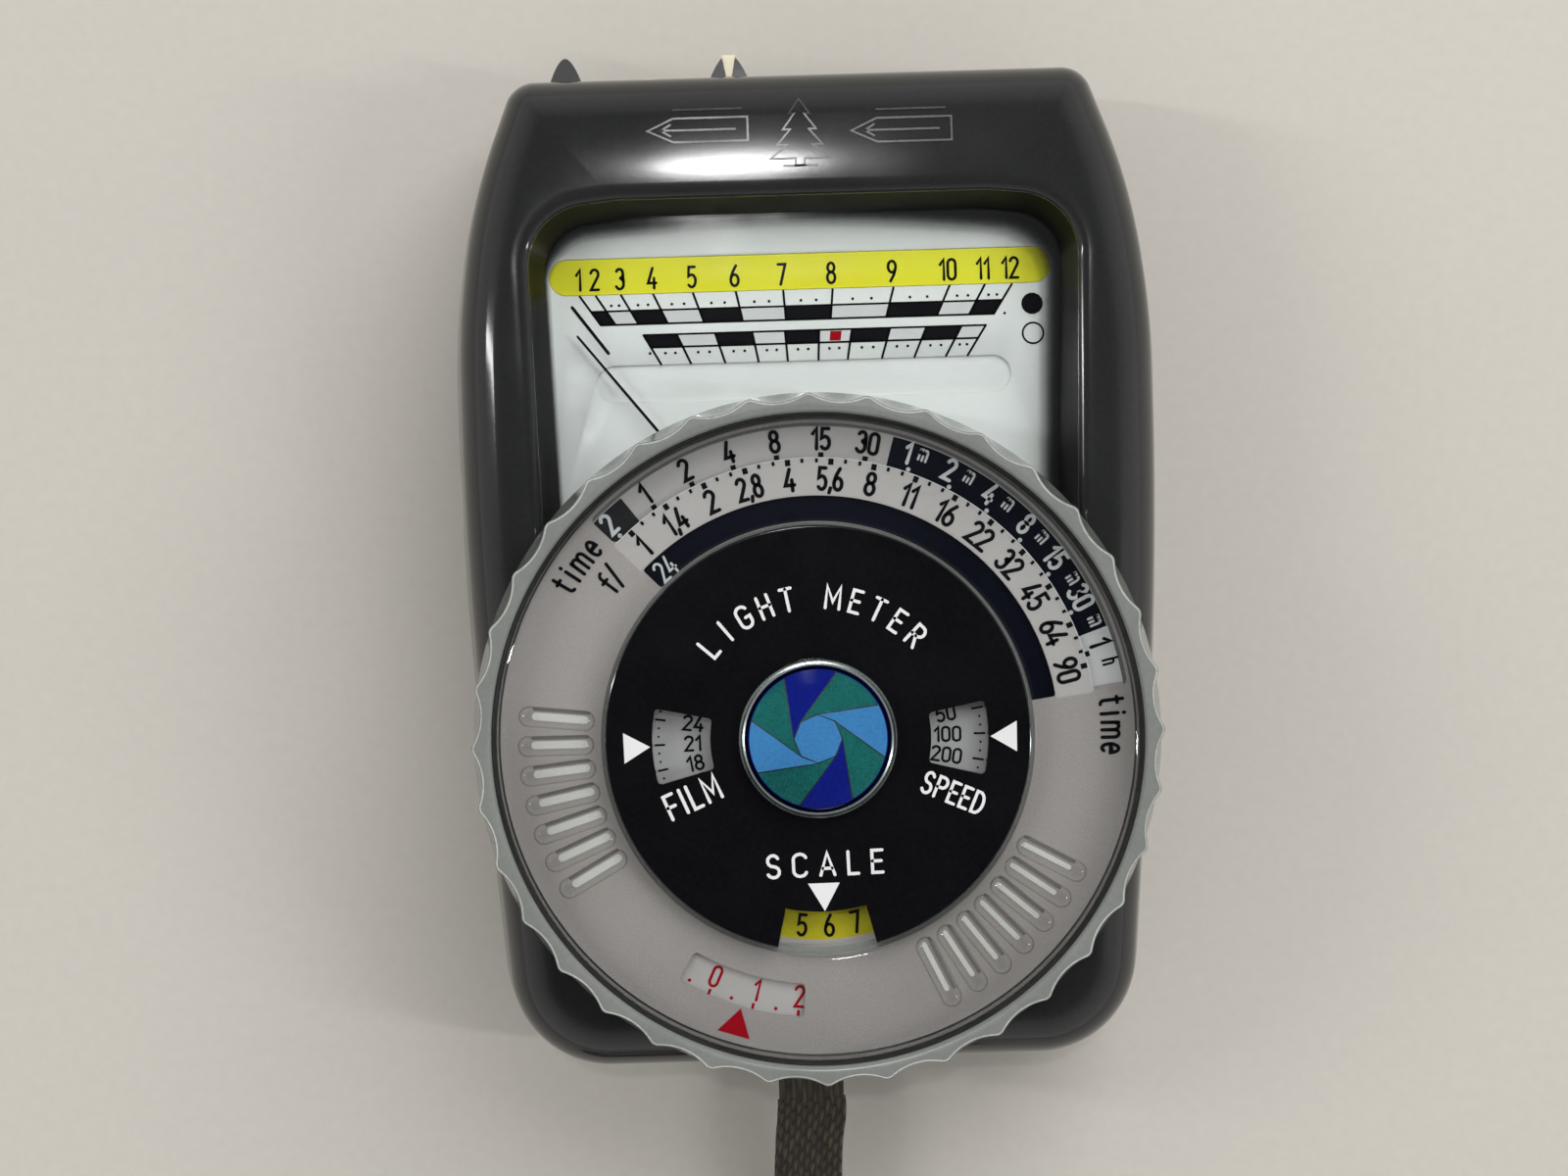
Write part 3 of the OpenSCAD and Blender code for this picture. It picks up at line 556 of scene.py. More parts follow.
# what each finish passes to surface: colour, roughness, and where it differs from a plain one
FINISHES = {
    "case": ((0.02, 0.0205, 0.0205), 0.1, dict(grain=0.5, vary=0.12, patch=14, shine=0.36)),
    "trim": ((0.018, 0.018, 0.02), 0.3, dict(grain=0.4, vary=0.2, bump=0.003)),
    # paler than the case: painted highlight on the raised marks
    "raised_mark_highlight": ((0.05, 0.051, 0.052), 0.22, dict(grain=0.4, vary=0.3)),
    # near-black copy of the case's plastic for the window's inner walls: painted shade in the recess
    "bevel": ((0.003, 0.003, 0.003), 0.35, dict(grain=0.5, vary=0.3, bump=0.002, shine=0.08)),
    "inner": ((0.012, 0.012, 0.012), 0.7, dict(vary=0.25, bump=0.01)),
    "ring": ((0.2, 0.21, 0.195), 0.2, dict(grain=0.5, vary=0.07, bump=0.0015, soft=0.1)),
    # the ring's grey made darker: painted shade on its outer wall
    "ring_wall_painted_shade": ((0.15, 0.158, 0.147), 0.14, dict(grain=0.5)),
    # a paler grey for the painted highlight on the ring's top edge
    "ring_edge_highlight": ((0.42, 0.43, 0.4), 0.25, dict(grain=0.4, vary=0.25)),
    "silver": ((0.45, 0.41, 0.388), 0.45, dict(metal=0.3, grain=0.12, vary=0.2, bump=0.004, patch=90)),
    # pale strips under the clear ribs: painted highlight
    "core": ((0.82, 0.8, 0.77), 0.35, dict(vary=0.04)),
    "bright": ((0.52, 0.49, 0.47), 0.5, dict(metal=0.1, grain=0.2, vary=0.06, bump=0.002)),
    "pale_ink": ((0.74, 0.74, 0.72), 0.5, dict(grain=0.2, vary=0.06)),
    "speed": ((0.5, 0.49, 0.48), 0.5, dict(metal=0.1, grain=0.2, vary=0.06, bump=0.002)),
    "scale": ((0.88, 0.9, 0.87), 0.42,
              dict(metal=0.2, grain=0.1, vary=0.05, bump=0.0015, stretch=(10, 1, 1))),
    "yellow": ((1.0, 0.93, 0.03), 0.38, dict(grain=0.25, vary=0.06)),
    "gloss": ((0.004, 0.004, 0.005), 0.09, dict(grain=0.4, vary=0.3, bump=0.0004, coat=0.4)),
    "black": ((0.004, 0.004, 0.006), 0.45, dict(grain=0.1, vary=0.3, shine=0.08)),
    "navy": ((0.003, 0.004, 0.011), 0.3, dict(grain=0.2, vary=0.25, shine=0.08)),
    "dark": ((0.022, 0.023, 0.024), 0.4, dict(grain=0.2, vary=0.25, shine=0.1)),
    "yellow_ink": ((0.62, 0.54, 0.02), 0.4, dict(grain=0.2, shine=0.2)),
    "white": ((0.72, 0.73, 0.72), 0.5, dict(grain=0.12, vary=0.05)),
    "red": ((0.36, 0.001, 0.01), 0.45, dict(grain=0.12, vary=0.12, shine=0.1)),
    "steel": ((0.5, 0.5, 0.51), 0.28, dict(metal=1.0, grain=0.15, vary=0.1, bump=0.002)),
    "metal": ((0.55, 0.55, 0.54), 0.35, dict(metal=1.0, grain=0.15, bump=0.002, stretch=(12, 1, 1))),
    "chrome": ((0.3, 0.34, 0.33), 0.2, dict(metal=1.0, grain=0.4, vary=0.1)),
    "brass": ((0.6, 0.45, 0.2), 0.3, dict(metal=1.0, grain=0.2, vary=0.12, bump=0.002)),
    "copper": ((0.5, 0.2, 0.08), 0.35, dict(metal=0.9, grain=0.1, vary=0.2, bump=0.01, stretch=(1, 1, 8))),
    "magnet": ((0.12, 0.12, 0.13), 0.5, dict(metal=0.7, grain=0.2, vary=0.2, bump=0.01)),
    "jewel": ((0.45, 0.02, 0.06), 0.1, dict(grain=0.2, vary=0.15, bump=0.0005)),
    "cell": ((0.6, 0.6, 0.58), 0.25, dict(metal=1.0)),
    "board": ((0.2, 0.12, 0.05), 0.5, dict(vary=0.2, bump=0.004)),
    "sensor": ((0.35, 0.16, 0.07), 0.45, dict(grain=0.2, vary=0.2, bump=0.004)),
    "opal": ((0.80, 0.72, 0.54), 0.35, dict(vary=0.06, soft=0.4)),
    "rib_shade": ((0.17, 0.155, 0.145), 0.5, dict(vary=0.15, bump=0.002, shine=0.2)),
    "enamel_sky": ((0.06, 0.25, 0.55), 0.12, dict(vary=0.15, bump=0.003, coat=0.6)),
    "enamel_teal": ((0.01, 0.13, 0.12), 0.15, dict(grain=0.15, vary=0.45, bump=0.004, coat=0.6)),
    "enamel_blue": ((0.004, 0.012, 0.22), 0.1, dict(vary=0.25, bump=0.002, coat=0.6)),
    "thread": ((0.16, 0.13, 0.08), 0.75, dict(grain=0.1, vary=0.3, bump=0.02)),
    "floor": ((0.56, 0.53, 0.475), 0.75, dict(grain=1.2, vary=0.03, bump=0.01, patch=60)),
}


def make_looks():
    looks = {name: surface(name, color, rough, **more) for name, (color, rough, more) in FINISHES.items()}
    # black for the painted shadow under the pane's edge
    looks["fade"] = fade_material("fade")
    looks["clear"] = clear_material("clear", (0.97, 0.98, 0.98), (0.35, 0.37, 0.37))
    looks["rib"] = clear_material("rib", (0.97, 0.97, 0.96), (0.4, 0.38, 0.37), gloss=0.05, facing=0.5)
    looks["strap"] = weave_material("strap", (0.02, 0.014, 0.006), (0.085, 0.064, 0.033))
    return looks


CAD_LOOKS = {
    "case_screws": "steel", "rear_plate": "metal", "window_pane": "clear", "dial_post": "brass",
    "wave_washer": "steel", "time_disc": "bright", "dial_screw": "brass", "badge_dome": "clear",
    "movement_yoke": "steel", "core_magnet": "magnet", "movement_bridge": "brass", "pivot_jewels": "jewel",
    "hairsprings": "brass", "moving_coil": "copper", "coil_staff": "steel", "pointer": "black",
    "pointer_tail": "brass", "zero_screw": "trim", "needle_clamp": "metal", "clamp_springs": "brass",
    "sensor_window": "clear", "light_tube": "inner", "baffle_grid": "inner", "photocell": "sensor",
    "cell_holder": "inner", "diffuser_carriage": "trim", "diffuser_dome": "opal", "grip_insert": "opal",
    "circuit_board": "board", "trim_resistors": "board", "range_rocker": "trim", "rocker_bracket": "steel",
    "rocker_pin": "steel", "rocker_contacts": "brass", "test_button": "trim", "test_spring": "brass",
    "test_contact_block": "board", "battery_cap": "trim", "battery_sleeve": "inner", "battery_cells": "cell",
    "battery_contact": "brass", "strap_lug": "trim", "badge_disc": "enamel_blue",
}


def dress_cad_nodes():
    for name, look in CAD_LOOKS.items():
        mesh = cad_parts[name].data
        mesh.materials.clear()
        mesh.materials.append(LOOK[look])
        smooth(mesh, 30)


# ---------------------------------------------------------------- strap
def smooth_route(route):
    """Points along a smooth curve through a route of (x, y, z, twist)."""
    per_span = 5
    points = [Vector(p) for p in route]
    points = [points[0] * 2 - points[1]] + points + [points[-1] * 2 - points[-2]]
    out = []
    for a, b, c, d in zip(points, points[1:], points[2:], points[3:]):
        for k in range(per_span):
            t = k / per_span
            out.append(0.5 * (2 * b + (c - a) * t + (2 * a - 5 * b + 4 * c - d) * t * t
                              + (3 * b - a - 3 * c + d) * t ** 3))
    return out


def coil_point(r, degrees):
    t = math.radians(degrees)
    return Vector((COIL_AT[0] + r * math.cos(t), COIL_AT[1] + r * math.sin(t), STRAP_Z, 90))


def strap_path():
    """Both strands of the neck strap: out of the lug, into a flat coil wound double, and back to the lug."""
    shrink = 2 * STRAP_PITCH
    end_r = COIL_INNER_START - shrink * COIL_TURNS
    end_a = 90 + 360 * COIL_TURNS
    start_a = 96

    def strand(start_r, last):
        n = round((last - start_a) / 6)
        angles = [start_a + (last - start_a) * i / n for i in range(n + 1)]
        return [coil_point(start_r - shrink * (a - 90) / 360, a) for a in angles]

    def half_turn(side, way):
        centre = coil_point(side * end_r / 2, end_a)
        turns = [math.radians(end_a + way * 15 * i) for i in range(1, 12)]
        return [centre + Vector((math.cos(t), math.sin(t), 0, 0)) * end_r / 2 for t in turns]

    first_strand = smooth_route(UPPER_ROUTE) + strand(COIL_INNER_START, end_a)
    middle = half_turn(1, 1) + [Vector((*COIL_AT, STRAP_Z, 90))] + half_turn(-1, -1)
    second_strand = smooth_route(LOWER_ROUTE) + strand(COIL_INNER_START + STRAP_PITCH, end_a + 180)
    return first_strand + middle + second_strand[::-1]


def even_path(points, spacing):
    """The path's points again, at an even spacing."""
    out = [points[0]]
    left = spacing
    for a, b in zip(points, points[1:]):
        gap = (b.xyz - a.xyz).length
        while gap >= left and gap > 1e-9:
            a = a.lerp(b, left / gap)
            gap = (b.xyz - a.xyz).length
            out.append(a)
            left = spacing
        left -= gap
    return out


def strap_section():
    """Rounded flat cross-section, as (across, through) in shares of the width and thickness."""
    def squared(value, power):
        return 0.5 * math.copysign(abs(value) ** power, value)

    turns = [2 * math.pi * i / 28 for i in range(28)]
    return [(squared(math.cos(t), 0.35), squared(math.sin(t), 0.7)) for t in turns]


def woven_band(name, rings, rows):
    """A strap piece skinned over its cross-sections, with the weave laid along it by the rows' lengths."""
    section = strap_section()
    verts, faces = skin(rings, caps=True)
    obj = new_object(name, verts, faces, "strap", "meter", "strap", 50)
    layer = obj.data.uv_layers.new(name="strap")
    for loop in obj.data.loops:
        ring, k = divmod(loop.vertex_index, len(section))
        layer.data[loop.index].uv = (section[k][0] * STRAP_W + 20, rows[ring])
    return obj


def make_strap():
    spacing = 0.8
    path = even_path(strap_path(), spacing)
    rings = []
    for i, p in enumerate(path):
        before, after = path[max(i - 1, 0)].xyz, path[min(i + 1, len(path) - 1)].xyz
        t = (after - before).normalized()
        side = t.cross(Vector((0, 0, 1))).normalized()
        up = side.cross(t)
        if i > len(path) // 2:
            side, up = -side, up
        a = math.radians(p[3])
        across = -side * math.cos(a) - up * math.sin(a)
        through = t.cross(across)
        ripple = 1 + 0.012 * math.sin(i * 0.9) + 0.01 * math.sin(i * 0.37 + 1)
        rings.append([p.xyz + across * u * STRAP_W * ripple + through * v * STRAP_T
                      for u, v in strap_section()])
    strap = woven_band("neck_strap", rings, [i * spacing for i in range(len(path))])
    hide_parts("strap_upper", "strap_lower", "strap_coil")
    end = make_strap_end()
    tie = make_tie()


def make_strap_end():
    """The strap's sewn end: once round the bar of the lug, its two layers stitched together."""
    bar_y = span("strap_lug")[0].y + 0.7
    bend_r, layer_z, spacing = 1.28, 0.58, 1.1
    turns = [math.pi * k / 14 for k in range(15)]
    bend = [(bar_y + bend_r * math.sin(t), bend_r * math.cos(t)) for t in turns]
    route = [(STRAP_START, layer_z)] + bend + [(STRAP_START, -layer_z)]
    rings = []
    for i, (y, z) in enumerate(route):
        y0, z0 = route[max(i - 1, 0)]
        y1, z1 = route[min(i + 1, len(route) - 1)]
        t = Vector((0, y1 - y0, z1 - z0)).normalized()
        through = Vector((1, 0, 0)).cross(t)
        rings.append([Vector((LUG_X + u * STRAP_W * 0.96, y, LUG_Z + z)) + through * v * STRAP_T * 0.95
                      for u, v in strap_section()])
    end = woven_band("strap_sewn_end", rings, [i * spacing for i in range(len(route))])
    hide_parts("strap_end")
    return end


def make_tie():
    """A short woven band round the coil's turns."""
    a = math.radians(20)
    out = Vector((math.cos(a), math.sin(a), 0))
    along = Vector((-math.sin(a), math.cos(a), 0))
    inner, outer, low, high = 28.6, 39.0, 0.02, 7.2
    half_wid, round_r, thick = 2.5, 1.2, 0.3
    mid_r, mid_z = (inner + outer) / 2, (low + high) / 2
    loop = []
    for cx, cz, start in ((outer - round_r, low + round_r, -90), (outer - round_r, high - round_r, 0),
                          (inner + round_r, high - round_r, 90), (inner + round_r, low + round_r, 180)):
        for k in range(7):
            t = math.radians(start + 15 * k)
            loop.append((cx + round_r * math.cos(t), cz + round_r * math.sin(t)))
    edge, half_thick = half_wid - 0.1, thick / 2
    left_side = [(-edge, 0), (-half_wid, half_thick), (-edge, thick)]
    rings = []
    for w, grow in left_side + [(-w, grow) for w, grow in left_side[::-1]]:
        ring = []
        for r, z in loop:
            r2 = r + grow * math.copysign(1, r - mid_r) if abs(r - mid_r) > 3 else r
            z2 = max(z + grow * math.copysign(1, z - mid_z), 0.01)
            ring.append(Vector((*COIL_AT, z2)) + out * r2 + along * w)
        rings.append(ring)
    return new_object("coil_tie", *skin(rings, close=True), "thread", "meter", "strap", 60)


# ---------------------------------------------------------------- case
# the thick wall behind the diffuser's channel, as (x, x, y, y)
END_WALL = (-28, 12, HALF_LEN - 5.6, HALF_LEN - 2.6)


def case_ring(d, z):
    return [(p.x, p.y, z) for p in rounded(CASE_POLY, d)]


def make_front_case():
    rounding = [math.radians(7.5 * k) for k in range(13)]
    outside = [(0.9, PART_Z), (SEAM, PART_Z), (SEAM * 0.3, PART_Z + 0.1), (0.02, PART_Z + 0.3)]
    outside.append((0.6, PART_Z + 4))
    outside += [(RIM_INSET - RIM_CURVE * math.cos(t), FACE_Z - FRONT_ROUND * (1 - math.sin(t)))
                for t in rounding]
    rings = [case_ring(d, z) for d, z in outside]
    rim = rings[-1]
    edge_r = 0.7
    edge_curve = [(-1.7, 0), (-1.1, 0.02), (-0.7, 0.07), (-0.4, 0.16), (-0.18, 0.3), (-0.05, 0.48)]
    for d, drop in edge_curve + [(0, edge_r)]:
        rings.append([(*p, FACE_Z - drop) for p in by_rays(rounded(WINDOW_OUT, d), rim)])
    edge = [Vector(p[:2]) for p in rings[-1]]
    inner = by_rays(rounded(WINDOW_IN), rim)
    lip = by_rays(rounded(WINDOW_IN, -1.7), rim)
    for f in (0.35, 0.7, 0.95):
        z = FACE_Z - edge_r + (PANE_TOP + 0.04 - FACE_Z + edge_r) * f
        rings.append([(*a.lerp(b, f), z) for a, b in zip(edge, inner)])
    for loop, z in ((inner, PANE_TOP + 0.02), (lip, PANE_TOP + 0.02), (lip, FACE_Z - WALL)):
        rings.append([(*p, z) for p in loop])
    inside = [(6.4, FACE_Z - WALL), (3.7, FACE_Z - 3.2), (2.6, FACE_Z - 6), (WALL, PART_Z)]
    rings += [case_ring(d, z) for d, z in inside]
    obj = solid(*skin(rings, close=True))
    combine(obj, [block(*END_WALL, PART_Z, FACE_Z - 5)], "UNION")
    combine(obj, case_cutters(), "DIFFERENCE")
    obj.name = "front_case_shell"
    dress(obj, "case", "meter", 24)
    # the window's walls below the face take the near-black finish: painted shade in the recess
    obj.data.materials.append(LOOK["bevel"])
    for face in obj.data.polygons:
        at = face.center / MM
        in_window = abs(at.x) < 28 and -3 < at.y < 38.4
        if in_window and PANE_TOP - 0.1 < at.z < FACE_Z - 0.6:
            face.material_index = 1
    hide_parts("front_case")


def make_pane_border():
    """Painted shadow of the window frame on the plate: a dark border under the edge of the pane, fading
    inwards.
    """
    outer = rounded(WINDOW_IN, -0.6)
    inner = by_rays(rounded(WINDOW_SHADE_EDGE), outer)
    z = span("window_pane")[0].z - 0.03
    loops = ((outer, 0), (inner, 0), (inner, 0.02), (outer, 0.02))
    rings = [[(p[0], p[1], z + h) for p in loop] for loop, h in loops]
    obj = new_object("pane_painted_shade", *skin(rings, close=True), "fade", "meter", "inner_black")
    layer = obj.data.uv_layers.new(name="fade")
    for loop in obj.data.loops:
        on_inner = loop.vertex_index // len(outer) in (1, 2)
        layer.data[loop.index].uv = (1.0 if on_inner else 0.0, 0.0)


def case_cutters():
    """Openings that both halves of the case share."""
    channel_z = middle_of("diffuser_carriage").z
    low, high = span("range_rocker")
    button_y = middle_of("test_button").y
    return [
        block(-27, 11.5, HALF_LEN - 3.2, HALF_LEN + 4, channel_z - 6.2, channel_z + 6.2),
        rod((0, HALF_LEN - 8, channel_z), (0, HALF_LEN + 4, channel_z), 5),
        block(HALF_WID - 5, HALF_WID + 3, low.y - 0.4, high.y + 0.4, PART_Z - 3.4, PART_Z + 3.4),
        rod((-HALF_WID - 3, button_y, PART_Z), (-HALF_WID + 5, button_y, PART_Z), 2.95),
    ]


def make_rear_case():
    rounding = [math.radians(9 * k) for k in range(11)]
    outside = [(REAR_ROUND * (1 - math.sin(t)), REAR_ROUND * (1 - math.cos(t))) for t in rounding]
    top = PART_Z - 0.01
    outside += [(0, PART_Z - 0.3), (SEAM * 0.3, PART_Z - 0.1), (SEAM, top), (0.9, top)]
    inside = [(WALL, top), (WALL, 5.5), (2.9, 3.2), (5.2, WALL)]
    obj = solid(*skin([case_ring(d, z) for d, z in outside + inside], caps=True))
    combine(obj, [block(*END_WALL, 3, top)], "UNION")
    cutters = case_cutters()
    for x, y in ((27.9, 38.6), (-27.9, 38.6), (26, -41), (-26, -41)):
        cutters.append(rod((x, y, -1), (x, y, 2.2), 2.6))
    for name, gap, sides in (("battery_cap", 0.12, 96), ("zero_screw", 0.06, 64)):
        low, high = span(name)
        x, y, _ = middle_of(name)
        cutters.append(rod((x, y, -1), (x, y, 7), (high.x - low.x) / 2 + gap, sides))
    low, high = span("rear_plate")
    cutters.append(block(low.x - 0.2, high.x + 0.2, low.y - 0.2, high.y + 0.2, -1, high.z + 0.02))
    combine(obj, cutters, "DIFFERENCE")
    obj.name = "rear_case_shell"
    dress(obj, "case", "meter", 24)
    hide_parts("rear_case")


# ---------------------------------------------------------------- lettering
def arc(cx, cy, rx, ry, a0, a1, n=9):
    steps = [math.radians(a0 + (a1 - a0) * i / n) for i in range(n + 1)]
    return [(cx + rx * math.cos(t), cy + ry * math.sin(t)) for t in steps]


# Plain round-ended strokes, capital height 1: width, then the strokes
GLYPHS = {
    "0": (0.42, [arc(.21, .78, .21, .22, 0, 180) + arc(.21, .22, .21, .22, 180, 360) + [(.42, .78)]]),
    "1": (0.22, [[(0, .74), (.2, 1), (.2, 0)]]),
    "2": (0.42, [arc(.21, .77, .21, .23, 165, -35) + [(0, 0), (.42, 0)]]),
    "3": (0.42, [arc(.2, .77, .19, .23, 150, -90) + arc(.2, .27, .22, .27, 90, -150)]),
    "4": (0.44, [[(.26, 1), (0, .26), (.44, .26)], [(.33, .5), (.33, 0)]]),
    "5": (0.42, [[(.38, 1), (.06, 1), (.03, .54)] + arc(.2, .31, .22, .31, 120, -140)]),
    "6": (0.42, [[(.3, 1), (.12, .7), (.02, .42)], arc(.21, .28, .21, .28, 0, 360, 20)]),
    "7": (0.4, [[(0, 1), (.4, 1), (.13, 0)]]),
    "8": (0.42, [arc(.21, .77, .18, .23, 0, 360, 20), arc(.21, .27, .21, .27, 0, 360, 20)]),
    "9": (0.42, [arc(.21, .72, .21, .28, 0, 360, 20), [(.12, 0), (.3, .3), (.4, .58)]]),
    ",": (0.04, [[(.06, .08), (0, -.14)]]),
    "/": (0.34, [[(0, -.06), (.34, 1.06)]]),
    "f": (0.3, [arc(.32, .82, .18, .18, 90, 180) + [(.14, 0)], [(0, .64), (.3, .64)]]),
    "t": (0.3, [[(.12, .95), (.12, .16)] + arc(.28, .16, .16, .16, 180, 270), [(0, .7), (.28, .7)]]),
    "i": (0.04, [[(.02, 0), (.02, .7)], [(.02, .93), (.02, .97)]]),
    "m": (0.68, [[(0, 0), (0, .7)], [(0, .4)] + arc(.17, .5, .17, .2, 180, 0) + [(.34, 0)],
                 [(.34, .4)] + arc(.51, .5, .17, .2, 180, 0) + [(.68, 0)]]),
    "e": (0.4, [[(.02, .36), (.4, .36)] + arc(.2, .35, .2, .35, 5, 310, 14)]),
    "h": (0.38, [[(0, 0), (0, 1)], [(0, .4)] + arc(.19, .5, .19, .2, 180, 0) + [(.38, 0)]]),
    "A": (0.52, [[(0, 0), (.26, 1), (.52, 0)], [(.09, .3), (.43, .3)]]),
    "C": (0.48, [arc(.25, .75, .24, .25, 20, 180) + arc(.25, .25, .24, .25, 180, 340)]),
    "D": (0.46, [[(0, 0), (0, 1), (.16, 1)] + arc(.16, .5, .3, .5, 90, -90, 14) + [(0, 0)]]),
    "E": (0.38, [[(.38, 1), (0, 1), (0, 0), (.38, 0)], [(0, .52), (.33, .52)]]),
    "F": (0.38, [[(.38, 1), (0, 1), (0, 0)], [(0, .5), (.33, .5)]]),
    "G": (0.5, [arc(.25, .75, .24, .25, 20, 180) + arc(.25, .25, .24, .25, 180, 350)
                + [(.5, .46), (.3, .46)]]),
    "H": (0.44, [[(0, 0), (0, 1)], [(.44, 0), (.44, 1)], [(0, .52), (.44, .52)]]),
    "I": (0.04, [[(.02, 0), (.02, 1)]]),
    "L": (0.36, [[(0, 1), (0, 0), (.36, 0)]]),
    "M": (0.56, [[(0, 0), (0, 1), (.28, .3), (.56, 1), (.56, 0)]]),
    "P": (0.44, [[(0, 0), (0, 1), (.22, 1)] + arc(.22, .75, .22, .25, 90, -90) + [(0, .5)]]),
    "R": (0.44, [[(0, 0), (0, 1), (.22, 1)] + arc(.22, .75, .22, .25, 90, -90) + [(0, .5)],
                 [(.2, .5), (.44, 0)]]),
    "S": (0.44, [arc(.22, .75, .2, .25, 25, 270) + arc(.22, .25, .22, .25, 90, -155)]),
    "T": (0.46, [[(0, 1), (.46, 1)], [(.23, 1), (.23, 0)]]),
}


def facing(r, a, way):
    """Origin and reading direction of lettering on the dial.

    Its tops point out or in, or it is read along the radius with its tops to the left or right.
    """
    t = math.radians(a)
    ways = {"out": (math.cos(t), -math.sin(t)), "in": (-math.cos(t), math.sin(t)),
            "left": (-math.sin(t), -math.cos(t)), "right": (math.sin(t), math.cos(t))}
    return polar(r, a), ways[way]


def beside(place, distance):
    """The point at a distance along the reading direction of a place on the dial."""
    (x, y), (ux, uy) = place
    return (x + ux * distance, y + uy * distance)


class Print:
    """Flat printed shapes at one height, each a thin closed prism, joined into one piece."""

    def __init__(self, z, thick=INK):
        self.z, self.thick = z, thick
        self.verts, self.faces = [], []

    def add(self, loops, **ends):
        verts, faces = skin(loops, **ends)
        self.faces += [tuple(len(self.verts) + i for i in face) for face in faces]
        self.verts += verts

    def poly(self, points):
        self.add([[(x, y, z) for x, y in points] for z in (self.z, self.z + self.thick)], caps=True)

    def band(self, outer, inner):
        """Closed ring between two loops of equal length."""
        low, high = self.z, self.z + self.thick
        sides = ((outer, low), (outer, high), (inner, high), (inner, low))
        self.add([[(x, y, z) for x, y in loop] for loop, z in sides], close=True)

    def stroke(self, points, width):
        """A line of even width with round ends, or a closed one where its ends meet."""
        pts = [Vector(p) for p in points]
        closed = (pts[0] - pts[-1]).length < 1e-6
        if closed:
            pts.pop()
        sides = []
        n = len(pts)
        for i, p in enumerate(pts):
            a = pts[i - 1] if closed or i else p
            b = pts[(i + 1) % n] if closed or i < n - 1 else p
            u = (p - a).normalized() if (p - a).length else (b - p).normalized()
            w = (b - p).normalized() if (b - p).length else u
            normal = (u + w).orthogonal().normalized()
            grow = 1 / max(0.5, math.sqrt((1 + u.dot(w)) / 2))
            sides.append(normal * grow * width / 2)
        left = [p + s for p, s in zip(pts, sides)]
        right = [p - s for p, s in zip(pts, sides)]
        if closed:
            self.band(left, right)
            return
        turns = [math.pi * k / 5 for k in range(1, 5)]
        last_end = [pts[-1] + turned(-sides[-1], t) for t in turns]
        first_end = [pts[0] + turned(sides[0], t) for t in turns]
        self.poly(right + last_end + left[::-1] + first_end)

    def text(self, text, place, height, weight, squeeze=1.0, gap=0.2):
        """Lettering centred on a place, given as (origin, reading direction).

        weight is the width of its strokes, squeeze its share of full width, gap what parts its letters.
        """
        (ox, oy), (ux, uy) = place
        x = -(sum(GLYPHS[c][0] + gap for c in text) - gap) / 2
        for c in text:
            width, strokes = GLYPHS[c]
            for stroke in strokes:
                local = [((x + px) * height * squeeze, (py - 0.5) * height) for px, py in stroke]
                self.stroke([(ox + a * ux - b * uy, oy + a * uy + b * ux) for a, b in local], weight)
            x += width + gap

    def tick(self, a, r1, r2, width):
        near, far = facing(r1, a, "out"), facing(r2, a, "out")
        half = width / 2
        self.poly([beside(near, -half), beside(near, half), beside(far, half), beside(far, -half)])

    def wedge(self, a, base_r, tip_r, half_wid, way="out"):
        """A triangle whose tip points along the radius."""
        base = facing(base_r, a, way)
        self.poly([beside(base, -half_wid), polar(tip_r, a), beside(base, half_wid)])

    def dot(self, centre, r):
        self.poly(circle(r, centre, 14))

    def done(self, name, look, body, slot):
        return new_object(name, self.verts, self.faces, look, body, slot, 40)


# ---------------------------------------------------------------- dial
def scallop_cut(t):
    """Depth of the finger scallops at an angle in radians."""
    sharpness = 22
    pitch = 2 * math.pi / SCALLOPS
    x = (t % pitch - pitch / 2) * RING_R
    if abs(x) >= SCALLOP_R:
        return 0
    depth = SCALLOP_DEPTH - (SCALLOP_R - math.sqrt(SCALLOP_R ** 2 - x * x))
    return max(0.0, math.log1p(math.exp(depth * sharpness)) / sharpness - 0.02)


